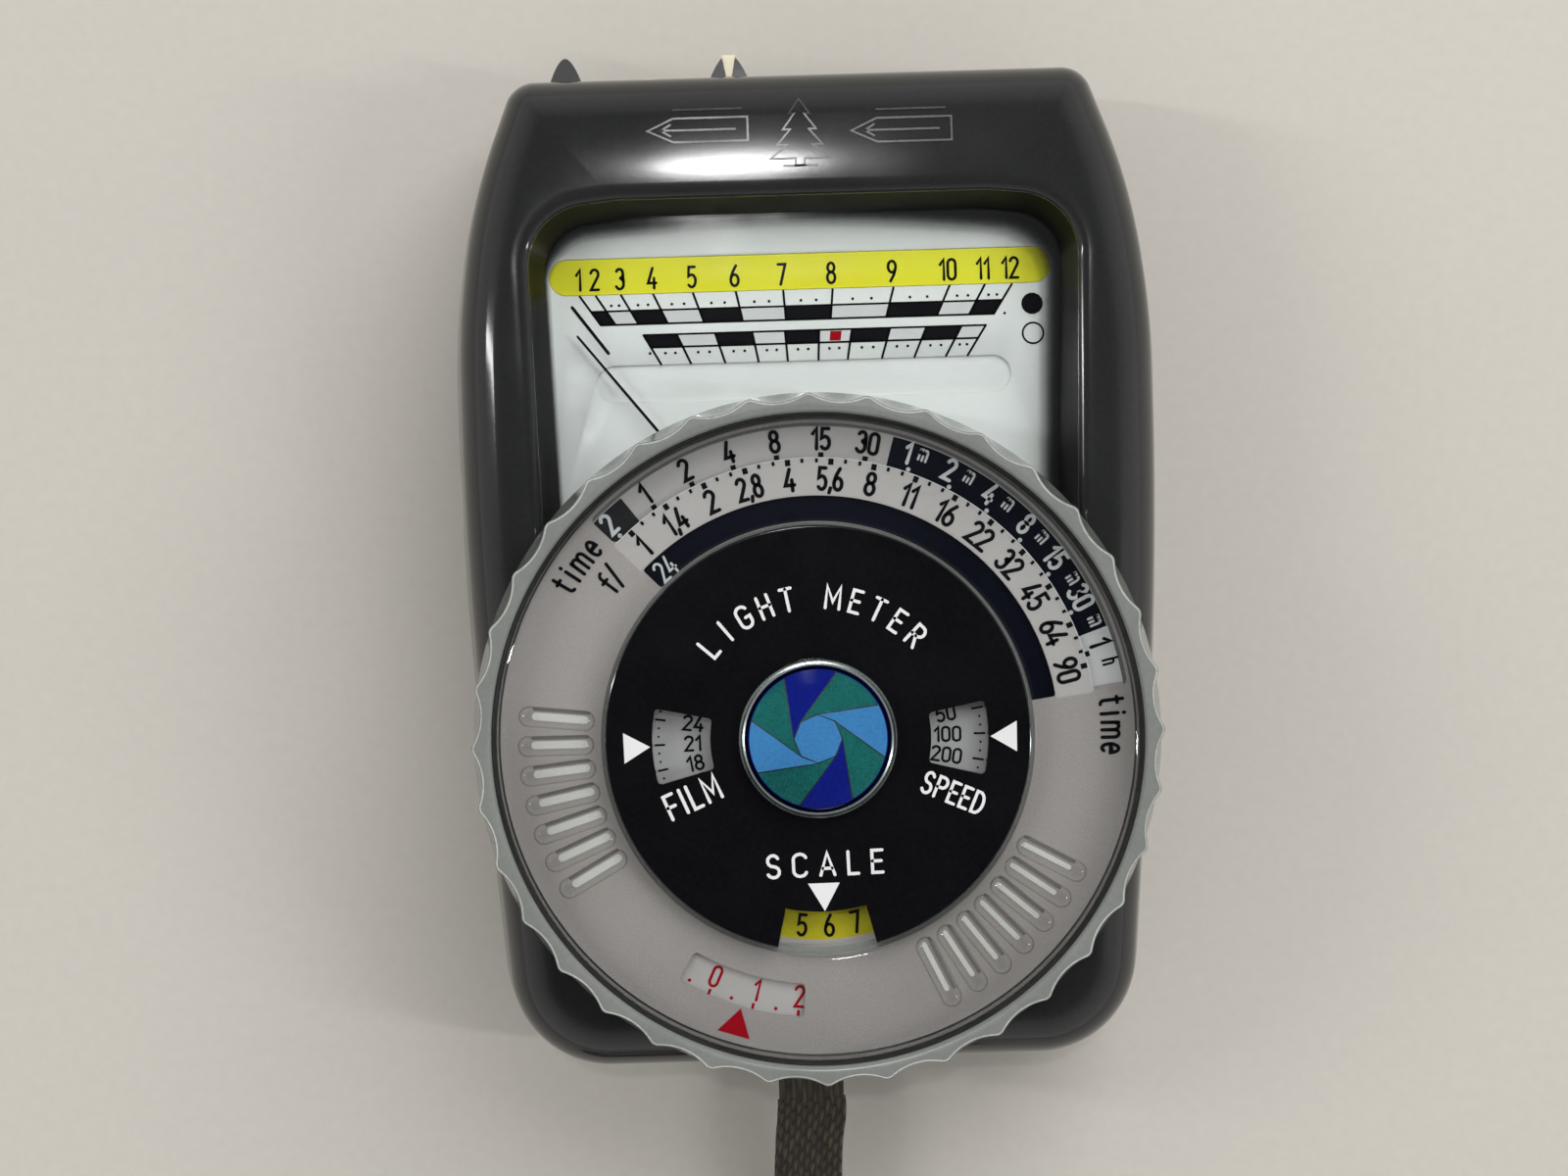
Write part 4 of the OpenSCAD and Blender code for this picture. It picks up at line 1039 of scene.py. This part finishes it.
def make_ring():
    """Ring with conical finger scallops that run out into its round base."""
    low, high = span("scalloped_ring")
    z, top, r = low.z, high.z, RING_R
    bore, step_r = 30.75, 29.75
    profile = [
        (step_r, z, 0), (r - 0.5, z, 0), (r - 0.12, z + 0.12, 0), (r, z + 0.45, 0), (r - 0.02, z + 1, 0),
        (r - 0.08, z + 1.6, 0.12), (r - 0.14, z + 2.5, 0.34), (r - 0.2, z + 3.4, 0.56),
        (r - 0.26, z + 4.3, 0.76), (r - 0.34, z + 5.2, 0.92), (r - 0.42, z + 6, 1),
        (r - 0.46, top - 0.16, 1), (r - 0.6, top, 1), (r - 0.66, top, 1), (r - 1, top, 0.75),
        (r - 1.35, top, 0.3), (bore + 0.35, top, 0), (bore + 0.2, top - 0.06, 0),
        (bore + 0.07, top - 0.25, 0), (bore + 0.03, top - 0.6, 0),
        (bore, top - 1, 0), (bore, z + 1.9, 0), (step_r, z + 1.9, 0),
    ]
    verts, faces = lathe(profile, segments=SCALLOPS * 24, radius=lambda q, t, w: q - scallop_cut(t) * w)
    obj = new_object("dial_grip_ring", verts, faces, "ring", "time_ring", "ring_grey", 33)
    # the outer wall takes the darker copy of the ring's grey, as painted shade
    obj.data.materials.append(LOOK["ring_wall_painted_shade"])
    for face in obj.data.polygons:
        at = face.center / MM
        if at.z < top - 0.17 and math.hypot(at.x - DIAL[0], at.y - DIAL[1]) > 31.5:
            face.material_index = 1
    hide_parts("scalloped_ring")
    # a pale line along the wavy top edge: painted highlight
    crest_highlight = Print(top - 0.01)
    turns = [2 * math.pi * i / (SCALLOPS * 20) for i in range(SCALLOPS * 20)]
    wave = [(r - 0.63 - scallop_cut(t), t) for t in turns]
    loop = [(DIAL[0] + q * math.cos(t), DIAL[1] + q * math.sin(t)) for q, t in wave]
    crest_highlight.stroke(loop + loop[:1], 0.13)
    crest_highlight.done("dial_ring_painted_highlight", "ring_edge_highlight", "time_ring", "ring_grey")
    # a black sleeve inside the bore: painted shade in the narrow gap round the clear disc
    inner, outer, low, high = bore - 0.09, bore - 0.01, z + 1.95, top - 0.75
    shade_sleeve = [(inner, low), (outer, low), (outer, high), (inner, high)]
    new_object("dial_ring_painted_shade", *lathe(shade_sleeve), "inner", "time_ring", "inner_black")


def make_clear_disc():
    """Stepped clear disc with fourteen moulded finger ribs in two groups."""
    low, top = CLEAR_Z, CLEAR_TOP
    bore, step_r = 4.06, 20.45
    profile = [
        (bore, low), (CLEAR_R - 0.1, low), (CLEAR_R, low + 0.1), (CLEAR_R, top - 0.5),
        (CLEAR_R - 0.15, top - 0.15), (CLEAR_R - 0.5, top), (step_r + 0.4, top), (step_r + 0.15, top - 0.08),
        (step_r + 0.02, top - 0.3), (step_r, low + 0.8), (bore, low + 0.8),
    ]
    disc = new_object("clear_dial_disc", *lathe(profile), "clear", "aperture_dial", "clear", 25)
    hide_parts("aperture_disc")
    ribs = [finger_rib(first + RIB_PITCH * i) for first in RIB_FIRST for i in range(RIBS)]
    new_object("finger_ribs", *joined(ribs), "rib", "aperture_dial", "clear", 40)


def finger_rib(a):
    """One rib: a long rounded bump along the radius."""
    inner, outer, half_w, height = 21.1, 28.3, 1.0, 0.84
    origin, along = facing(0, a, "right")
    side = (-along[1], along[0])
    turns = [2 * math.pi * k / 40 for k in range(40)]
    outline = [(outer - half_w if math.cos(t) >= 0 else inner + half_w, t) for t in turns]
    levels = ((1.0, 0.0), (0.985, 0.16), (0.93, 0.42), (0.82, 0.66), (0.64, 0.84), (0.4, 0.95), (0.15, 1.0))
    rings = []
    for share, lift in levels:
        z = CLEAR_TOP + 0.005 + height * lift
        reach = half_w * share
        local = [(end + reach * math.cos(t), reach * math.sin(t)) for end, t in outline]
        rings.append([(origin[0] + x * along[0] + y * side[0], origin[1] + x * along[1] + y * side[1], z)
                      for x, y in local])
    return skin(rings, caps=True)


def print_times(z):
    """Exposure times on the time disc, long ones in white on a navy band."""
    first = FIRST_STOP + TIME_SHIFT
    navy, dark, patch = Print(z), Print(z), Print(z)
    dark_end, navy_start, navy_end = first + 0.55 * STEP, first + 6.5 * STEP, first + 12.5 * STEP + 0.6
    navy.poly(sector(*TIME_BAND, navy_start, navy_end))
    navy.poly(sector(*EXPOSURE_BAND, first - 2 * STEP, first + 14.5 * STEP))
    dark.poly(sector(*TIME_BAND, first - 1.5 * STEP, dark_end))
    patch.poly(sector(26.5, 29.7, navy_end, first + 13.75 * STEP))
    black, white = Print(z + INK), Print(z + INK)
    times = ["2", "1", "2", "4", "8", "15", "30", "1m", "2m", "4m", "8m", "15m", "30m", "1h"]
    for i, label in enumerate(times):
        a = first + i * STEP
        on_dark = i == 0 or 7 <= i <= 12
        ink = white if on_dark else black
        digits, unit = label.rstrip("mh"), label[-1] if label[-1] in "mh" else ""
        gap = 0 if not unit else 2.9 if label == "1m" else 3.9 if len(digits) == 1 else 5.1
        ink.text(digits, facing(28.5, a - gap * 0.36, "out"), height=1.95, weight=0.35, squeeze=0.98)
        if unit:
            ink.text(unit, facing(28.95, a + gap * 0.66, "out"), height=1.5, weight=0.22, squeeze=0.72)
        if on_dark:
            ink.dot(polar(26.98, a), 0.22)
        else:
            ink.tick(a, 26.74, 27.2, 0.5)
    white.text("24", facing(21.7, first + 2.4, "out"), height=1.9, weight=0.24, squeeze=0.9)
    patch.done("time_bright_patch", "pale_ink", "time_ring", "dial_light")
    navy.done("time_navy_bands", "navy", "time_ring", "plate_black")
    dark.done("time_grey_band", "dark", "time_ring", "plate_black")
    black.done("time_numerals_black", "black", "time_ring", "plate_black")
    white.done("time_numerals_white", "white", "time_ring", "dial_light")


def print_shifts(z):
    """Red exposure shifts on the time disc, seen in the lower left window."""
    zero_at, pitch = -155.3, 9.5
    red = Print(z)
    for value in range(-4, 11):
        a = zero_at - value * pitch
        if value >= 0:
            red.text(str(value), facing(24.95, a, "in"), height=1.95, weight=0.26, squeeze=0.95)
        red.tick(a, 26.25, 26.8, 0.26)
        red.dot(polar(26.35, a - pitch / 2), 0.17)
    red.done("shift_numerals_red", "red", "time_ring", "dial_silver")


def print_readings(z):
    """Yellow band of meter readings on the time disc, seen in the index plate's notch."""
    six_at, pitch = 178.2, 8.2
    yellow, pale, marks = Print(z), Print(z), Print(z + INK)
    inner, outer = READING_BAND
    yellow.band(circle(outer), circle(inner))
    pale.band(circle(EXPOSURE_BAND[0]), circle(outer))
    for value in range(0, 19):
        a = six_at - (value - 6) * pitch
        marks.text(str(value), facing(18.1, a, "in"), height=1.95, weight=0.3, squeeze=0.95)
    yellow.done("reading_band_yellow", "yellow_ink", "time_ring", "strip_yellow")
    pale.done("reading_band_pale", "bright", "time_ring", "dial_light")
    marks.done("reading_numerals", "black", "time_ring", "plate_black")


def make_time_print():
    """What is printed on the time disc, and turns with the scalloped ring."""
    z = top_of("time_disc") + 0.01
    print_times(z)
    print_shifts(z)
    print_readings(z)


def make_silver_mask(left, right):
    """The silver mask under the clear disc. left and right are the angles where its long windows end."""
    low, high = span("aperture_print")
    shift_window = sector(23.6, 26.8, SCALE_MID - 193.5, SCALE_MID - 166.5)
    loops = [
        circle(high.x - DIAL[0], n=240), circle(20.45, n=180), soften(sector(26.7, 30.0, left, right), 0.6),
        soften(sector(20.6, 23.05, left, right), 0.3), soften(shift_window, 0.5),
    ]
    mask = flat_plate("silver_mask", loops, low.z, high.z - 0.06, 0,
                      "silver", "aperture_dial", "dial_silver")
    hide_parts("aperture_print")


def print_f_numbers(z):
    ink = Print(z)
    stops = ["1", "1,4", "2", "2,8", "4", "5,6", "8", "11", "16", "22", "32", "45", "64", "90"]
    for i, label in enumerate(stops):
        a = FIRST_STOP + i * STEP
        squeeze = 0.86 if "," in label else 0.97
        ink.text(label, facing(24.65, a, "out"), height=2.05, weight=0.36, squeeze=squeeze)
        ink.tick(a, 26.0, 26.6, 0.5)
        for third in (1, 2):
            if i < len(stops) - 1:
                ink.tick(a + third * STEP / 3, 26.2, 26.6, 0.28)
    for start in (84.6, -57.6):
        for letter, along in zip("time", (0, 2.5, 5.7, 9.3)):
            ink.text(letter, facing(28.3, start + along, "out"), height=2.3, weight=0.34, squeeze=0.9)
    ink.text("f/", facing(24.8, -51.0, "out"), height=2.3, weight=0.32, squeeze=0.9)
    ink.done("f_number_scale", "black", "aperture_dial", "plate_black")


def print_rib_shades(z):
    """The light and the shade that each clear rib casts on the mask."""
    cores, shades = Print(z), Print(z)
    for first, width, side in zip(RIB_FIRST, (0.75, 0.5), (1, -1)):
        for i in range(RIBS):
            a = first + RIB_PITCH * i
            cores.stroke([polar(22.3, a - 0.3 * side), polar(27.0, a - 0.25 * side)], width)
            shades.stroke([polar(22.0, a + 1.5 * side), polar(27.2, a + 1.2 * side)], 0.34)
    shades.done("rib_shades", "rib_shade", "aperture_dial", "dial_silver")
    cores.done("rib_highlights", "core", "aperture_dial", "dial_light")


def make_aperture_print():
    """The mask under the clear disc, what is printed on it, and the painted highlights and shades of the
    ribs and the time window's edge.
    """
    left, right = SCALE_MID - 62.75, SCALE_MID + 64
    make_silver_mask(left, right)
    z = top_of("aperture_print") - 0.055
    f_band = Print(z, 0.01)
    f_band.poly(sector(*F_BAND, left - 0.5, right + 0.5))
    f_band.done("f_number_band", "bright", "aperture_dial", "dial_light")
    print_f_numbers(z + 0.012)
    arrow, lip = Print(z + 0.012), Print(z + 0.012)
    tip, half_angle = -162.5, 3.1
    arrow.poly([polar(29.6, tip - half_angle), polar(29.6, tip + half_angle), polar(26.95, tip)])
    arrow.done("red_pointer_mark", "red", "aperture_dial", "dial_silver")
    # a thin white line along the time window's edge: painted highlight
    lip.stroke([polar(F_BAND[1] + 0.01, left + (right - left) * i / 120) for i in range(121)], 0.07)
    lip.done("time_window_painted_highlight", "white", "aperture_dial", "dial_light")
    print_rib_shades(z + 0.01)
    edge = Print(CLEAR_Z + 0.82, 0.05)
    edge.band(circle(20.44), circle(19.9))
    edge.done("index_plate_rim", "ring", "aperture_dial", "dial_light")


def make_speed_print():
    """Both film speed scales, which show in the index plate's two windows."""
    low, high = span("speed_print")
    loops = [circle(16.2, n=160), circle(9.6, n=96)]
    plate = flat_plate("film_speed_ring", loops, low.z, high.z - 0.06, 0,
                       "speed", "aperture_dial", "dial_light")
    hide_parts("speed_print")
    ink = Print(high.z - 0.055)
    pitch = 9.1
    speeds = ["6", "12", "25", "50", "100", "200", "400", "800", "1600", "3200", "6400"]
    for k, label in enumerate(speeds, -4):
        left, right = -91.3 + pitch * k, 90.4 + pitch * k
        ink.text(str(21 + 3 * k), facing(11.95, left, "left"), height=1.32, weight=0.24, squeeze=1.3)
        squeeze = 1.25 if len(label) < 4 else 0.9
        ink.text(label, facing(12.4, right, "right"), height=1.32, weight=0.23, squeeze=squeeze)
        for a, r1, r2 in ((left, 14.6, 15.6), (right, 14.9, 16.0)):
            ink.tick(a, r1, r2, 0.2)
            for third in (1, 2):
                ink.dot(polar((r1 + r2) / 2 + 0.1, a + third * pitch / 3), 0.11)
    ink.done("film_speed_numerals", "black", "aperture_dial", "plate_black")


def make_index_plate():
    """Glossy black disc with an open notch over the reading band and a window over each film speed scale."""
    low, high = span("index_plate")
    bore = 1.6
    profile = [(bore, low.z), (PLATE_R - 0.1, low.z), (PLATE_R, low.z + 0.1), (PLATE_R, high.z - 0.16),
               (PLATE_R - 0.05, high.z - 0.05), (PLATE_R - 0.16, high.z), (bore, high.z)]
    windows = [sector(16.4, PLATE_R + 1, 165.6, 192.5), soften(sector(10.2, 15.7, -104.75, -78), 0.45),
               soften(sector(10.7, 16.1, 78.75, 104), 0.45)]
    obj = solid(*lathe(profile))
    combine(obj, [prism(loop, low.z - 1, high.z + 1) for loop in windows], "DIFFERENCE")
    obj.name = "index_plate_gloss"
    dress(obj, "gloss", "meter", 30)
    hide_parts("index_plate")
    ink = Print(high.z + 0.003)
    ink.wedge(-91.3, 18.4, 15.9, 1.45)
    ink.wedge(91.0, 18.8, 16.3, 1.45)
    ink.wedge(179.4, 13.7, 16.35, 1.5, "in")
    ink.text("SCALE", facing(11.9, 178.6, "in"), height=2.1, weight=0.3, squeeze=1.22, gap=0.52)
    ink.text("FILM", facing(13.1, -113.4, "left"), height=2.3, weight=0.32, gap=0.3)
    ink.text("SPEED", facing(13.8, 113.6, "right"), height=2.0, weight=0.29, squeeze=0.95, gap=0.26)
    for k, letter in enumerate("LIGHT METER"):
        if letter != " ":
            a = (k - 5) * 9.4 - 1.6
            ink.text(letter, facing(13.4, a, "out"), height=2.1, weight=0.3, squeeze=1.1)
    ink.done("index_marks_white", "white", "meter", "dial_light")


def make_badge():
    """A generic enamel badge: an eight-bladed iris in a polished rim."""
    z, top = span("badge_rim")[0].z, top_of("badge_disc")
    inner, outer = 6.75, 7.54
    profile = [(inner, z), (outer - 0.02, z), (outer, z + 0.7), (7.46, z + 1.0), (7.3, z + 1.16),
               (7.12, z + 1.18), (6.95, z + 1.1), (6.82, z + 0.9), (inner, z + 0.7)]
    rim = new_object("badge_bezel", *lathe(profile), "chrome", "meter", "badge_metal", 30)
    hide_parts("badge_rim")
    blades, lean, hole, enamel_r = 8, 62, 2.3, 6.5
    pitch = 360 / blades
    looks = ["enamel_sky", "enamel_teal", "enamel_blue", "enamel_teal"]
    prints = {look: Print(top + 0.001, 0.015) for look in looks[:3]}
    lines = Print(top + 0.005, 0.04)
    for i in range(blades):
        a, b = pitch * i, pitch * (i + 1)
        rim_side = [polar(enamel_r, a + lean + pitch * k / 8) for k in range(9)]
        prints[looks[i % 4]].poly([polar(hole, a)] + rim_side + [polar(hole, b)])
        lines.stroke([polar(hole, b), polar(hole, a), polar(enamel_r, a + lean)], 0.13)
    prints["enamel_sky"].poly([polar(hole, pitch * i) for i in range(blades)])
    for look, blade_print in prints.items():
        blade_print.done("badge_" + look, look, "meter", "enamel")
    lines.done("badge_wires", "chrome", "meter", "badge_metal")


# ---------------------------------------------------------------- scale plate
# where the ticks of both needle scales end at the top, left to right
UPPER_TICKS = (-22.2, -20.6, -18.1, -14.9, -10.95, -6.7, -2.0, 2.9, 8.95, 14.5, 18.0, 20.7)
LOWER_TICKS = (-16, -12.7, -8.9, -5.2, -1.95, 1.45, 4.7, 8.5, 12.1, 15.6, 18.0)


def slot_outline(x, y, length, width):
    """A slot lying across the plate, with round ends."""
    half, r = (length - width) / 2, width / 2
    ends = [(side, math.radians(start + 12 * k)) for side, start in ((1, -90), (-1, 90)) for k in range(16)]
    return [(x + side * half + r * math.cos(t), y + r * math.sin(t)) for side, t in ends]


def print_scale(ticks, levels, blocks, dots_y, pivot, pale, black):
    """A ticked scale leaning towards the pivot, with a row of black and white blocks and two dots a cell.

    levels are the upper and lower end of its ticks, blocks the upper and lower edge of the blocks. Returns
    what gives the point at a place on the scale, counted in cells, at a height.
    """
    def at(place, y):
        k = min(int(place), len(ticks) - 2)
        x = ticks[k] + (ticks[k + 1] - ticks[k]) * (place - k)
        return (pivot.x + (x - pivot.x) * (y - pivot.y) / (levels[0] - pivot.y), y)

    for k in range(len(ticks)):
        black.stroke([at(k, y) for y in levels], 0.22)
    for k in range(len(ticks) - 1):
        high_edge, low_edge = ([at(k, y), at(k + 1, y)] for y in blocks)
        black.stroke(high_edge, 0.2)
        black.stroke(low_edge, 0.2)
        (pale if k % 2 else black).poly(low_edge + high_edge[::-1])
        if k or blocks[0] == levels[0]:
            for share in (0.35, 0.67):
                black.dot(at(k + share, dots_y), 0.14)
    return at


def print_scales(z, pivot):
    """Both needle scales, a full and an open dot for the two ranges, and the slanted test line."""
    pale, black, red = Print(z), Print(z + 0.006), Print(z + 0.012)
    print_scale(UPPER_TICKS, (27.6, 24.7), (26.05, 24.7), 26.6, pivot, pale, black)
    lower = print_scale(LOWER_TICKS, (23.6, 20.65), (23.6, 22.35), 21.75, pivot, pale, black)
    red.poly([lower(5.34, 22.5), lower(5.69, 22.5), lower(5.69, 23.45), lower(5.34, 23.45)])
    for place in ((19.9, 24.73), (-15.4, 21.77)):
        black.dot(place, 0.14)
    black.dot((22.65, 25.62), 1.08)
    open_range = (22.66, 22.68)
    black.band(circle(1.12, open_range, 48), circle(0.93, open_range, 48))
    black.stroke([(-22.99, 26.54), (-19.53, 21.89)], 0.32)
    pale.done("scale_marks_white", "white", "meter", "dial_light")
    black.done("scale_marks_black", "black", "meter", "plate_black")
    red.done("scale_mark_red", "red", "meter", "dial_silver")


def make_scale_plate():
    """Plate with a pressed groove and a slot for the yellow strip, cut out round the movement's pivot."""
    high_z = top_of("scale_plate")
    floor_z = high_z - 0.35
    pivot = middle_of("coil_staff")
    outline = [tuple(p) for p in rounded(WINDOW_IN, -1.2)]
    hole = circle(9.6, pivot)
    strip_at = (-0.3, 29.5)
    face_loops = [outline, slot_outline(*strip_at, 49.9, 3.6), slot_outline(-0.2, 18.8, 41.1, 3.6), hole]
    low_z = span("scale_plate")[0].z
    look = ("scale", "meter", "scale_silver")
    flat_plate("scale_plate_base", [outline, hole], low_z, floor_z - 0.01, 0, *look)
    plate = flat_plate("scale_plate_face", face_loops, floor_z, high_z, 0.12, *look)
    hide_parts("scale_plate")
    strip_top = floor_z + 0.2
    strip = flat_plate("yellow_strip", [slot_outline(*strip_at, 49.8, 3.5)], floor_z, strip_top, 0.03,
                       "yellow", "meter", "strip_yellow")
    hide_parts("scale_strip")
    numerals = Print(strip_top + 0.002)
    for value, x in enumerate(UPPER_TICKS, 1):
        numerals.text(str(value), ((x - 0.1, 29.25), (1, 0)), height=2.0, weight=0.27, squeeze=0.9)
    numerals.done("strip_numerals", "black", "meter", "plate_black")
    print_scales(high_z + 0.002, pivot)


# ---------------------------------------------------------------- small case details
def make_front_marks():
    """Raised outlines on the case, paler than it as a painted highlight: an arrow in a pointed box on each
    side of a plain tree.
    """
    sunk, high, width = 0.06, 0.16, 0.2
    raised = Print(FACE_Z - sunk, high)
    for x, y in ((-9.8, 42.6), (9.9, 42.1)):
        back, shoulder, tip, half = x + 4.8, x - 2.4, x - 4.9, 1.15
        raised.stroke([(back, y - half), (shoulder, y - half), (tip, y), (shoulder, y + half),
                       (back, y + half), (back, y - half)], width)
        raised.stroke([(shoulder, y + 2.0), (x + 4.2, y + 2.0)], width)
        raised.stroke([(x - 3.6, y), (x + 3.6, y)], width)
        raised.stroke([(x - 2.7, y + 0.55), (x - 3.6, y), (x - 2.7, y - 0.55)], width)
    tree_foot = 38.9
    tiers = [(0.0, 45.4), (1.0, 43.9), (0.5, 43.9), (1.6, 42.4), (0.9, 42.4), (2.2, 40.9), (1.2, 40.9),
             (2.9, 39.6), (0.45, 39.6), (0.45, tree_foot)]
    raised.stroke(tiers + [(-x, y) for x, y in reversed(tiers[1:])] + [tiers[0]], width)
    raised.stroke([(-1.6, tree_foot), (1.6, tree_foot)], width)
    for i, (x, y, z) in enumerate(raised.verts):
        share = max(0.0, y - (HALF_LEN - RIM_INSET)) / RIM_CURVE
        raised.verts[i] = (x, y, z - FRONT_ROUND * (1 - math.sqrt(1 - share ** 2)))
    raised.done("case_raised_marks", "raised_mark_highlight", "meter", "case_black")


def make_rocker_ribs():
    """Two groups of four ribs that follow the rocker's crowned face."""
    _, mid_y, mid_z = middle_of("range_rocker")
    face_x = span("range_rocker")[1].x - 0.12
    r, half_long, pitch, crown = 0.34, 2.6, 1.3, 0.0053
    turns = [math.pi * j / 8 for j in range(9)]
    ribs = []
    for k in (-6, -5, -4, -3, 3, 4, 5, 6):
        off = pitch * k
        x, y = face_x - crown * off ** 2, mid_y + off
        rings = [[(x + r * math.sin(t), y + r * math.cos(t), mid_z + dz) for t in turns]
                 for dz in (-half_long, half_long)]
        ribs.append(skin(rings, caps=True))
    new_object("rocker_ribs", *joined(ribs), "trim", "rocker", "trim_black", 30)


def make_rear_table():
    """Plain ruled table on the rear plate, with numbers only."""
    low, high = span("rear_plate")
    ink = Print(low.z - 0.02, 0.015)
    margin, rows, cols, line = 1.5, 6, 7, 0.12
    x0, x1, y0, y1 = low.x + margin, high.x - margin, low.y + margin, high.y - margin
    row_high, col_wide = (y1 - y0) / rows, (x1 - x0) / cols
    for r in range(rows + 1):
        ink.stroke([(x0, y0 + row_high * r), (x1, y0 + row_high * r)], line)
    for c in range(cols + 1):
        ink.stroke([(x0 + col_wide * c, y0), (x0 + col_wide * c, y1)], line)
    for r in range(rows):
        for c in range(cols):
            place = (x0 + col_wide * (c + 0.5), y0 + row_high * (r + 0.5))
            number = str(1 + c + 2 * (rows - r))
            ink.text(number, (place, (-1, 0)), height=1.5, weight=0.18, squeeze=0.95)
    # the plate is read from behind, so the print is mirrored about its middle
    ink.verts = [(low.x + high.x - x, y, z) for x, y, z in ink.verts]
    ink.done("rear_table", "black", "meter", "plate_black")


# ---------------------------------------------------------------- stage
def make_stage():
    size = 3.0
    corners = [(-size, -size, 0), (size, -size, 0), (size, size, 0), (-size, size, 0)]
    mesh = bpy.data.meshes.new("floor")
    mesh.from_pydata(corners, [], [(0, 1, 2, 3)])
    mesh.materials.append(LOOK["floor"])
    add_object("floor", mesh)
    make_world()
    area_light("key_softbox", (0.34, 0.56, 0.72), (0, 0, 0.01), (0.7, 0.7), 5.4, mirrored=False)
    area_light("glare_lamp", (-0.02, 0.197, 1.0), (0, 0.04, 0.01), (0.055, 0.02), 0.8)
    area_light("left_lamp", (-0.62, 0.12, 0.62), (0, 0, 0.01), (0.03, 0.3), 1.2)
    area_light("right_lamp", (0.62, -0.1, 0.62), (0, 0, 0.01), (0.03, 0.3), 1.2)
    bpy.context.scene.view_settings.view_transform = "Standard"


def make_world():
    """A pale studio, dark straight overhead so that flat gloss faces stay dark from above."""
    world = bpy.data.worlds.new("world")
    bpy.context.scene.world = world
    world.use_nodes = True
    tree = world.node_tree
    place = node(tree, "ShaderNodeTexCoord")
    split = node(tree, "ShaderNodeSeparateXYZ", {"Vector": place.outputs["Generated"]})
    stops = [
        (0.0, (0.95, 0.94, 0.92, 1)), (0.55, (0.7, 0.7, 0.7, 1)), (0.78, (0.42, 0.42, 0.43, 1)),
        (0.9, (0.13, 0.13, 0.135, 1)), (0.97, (0.02, 0.02, 0.022, 1)),
    ]
    background = tree.nodes["Background"]
    tree.links.new(ramp(tree, split.outputs["Z"], stops), background.inputs["Color"])
    background.inputs["Strength"].default_value = 1.0


def area_light(name, place, target, size, power, mirrored=True):
    """A rectangular lamp in metres and watts. Unless mirrored, it doesn't show in the object's gloss."""
    data = bpy.data.lights.new(name, "AREA")
    data.shape = "RECTANGLE"
    data.size, data.size_y = size
    data.energy = power
    light = add_object(name, data)
    light.location = place
    light.rotation_euler = (Vector(target) - Vector(place)).to_track_quat("-Z", "Y").to_euler()
    light.visible_glossy = mirrored


# ---------------------------------------------------------------- build
make_camera()
LOOK = make_looks()
make_strap()
dress_cad_nodes()
make_front_case()
make_rear_case()
make_ring()
make_clear_disc()
make_time_print()
make_aperture_print()
make_speed_print()
make_index_plate()
make_badge()
make_scale_plate()
make_pane_border()
make_front_marks()
make_rocker_ribs()
make_rear_table()
make_stage()
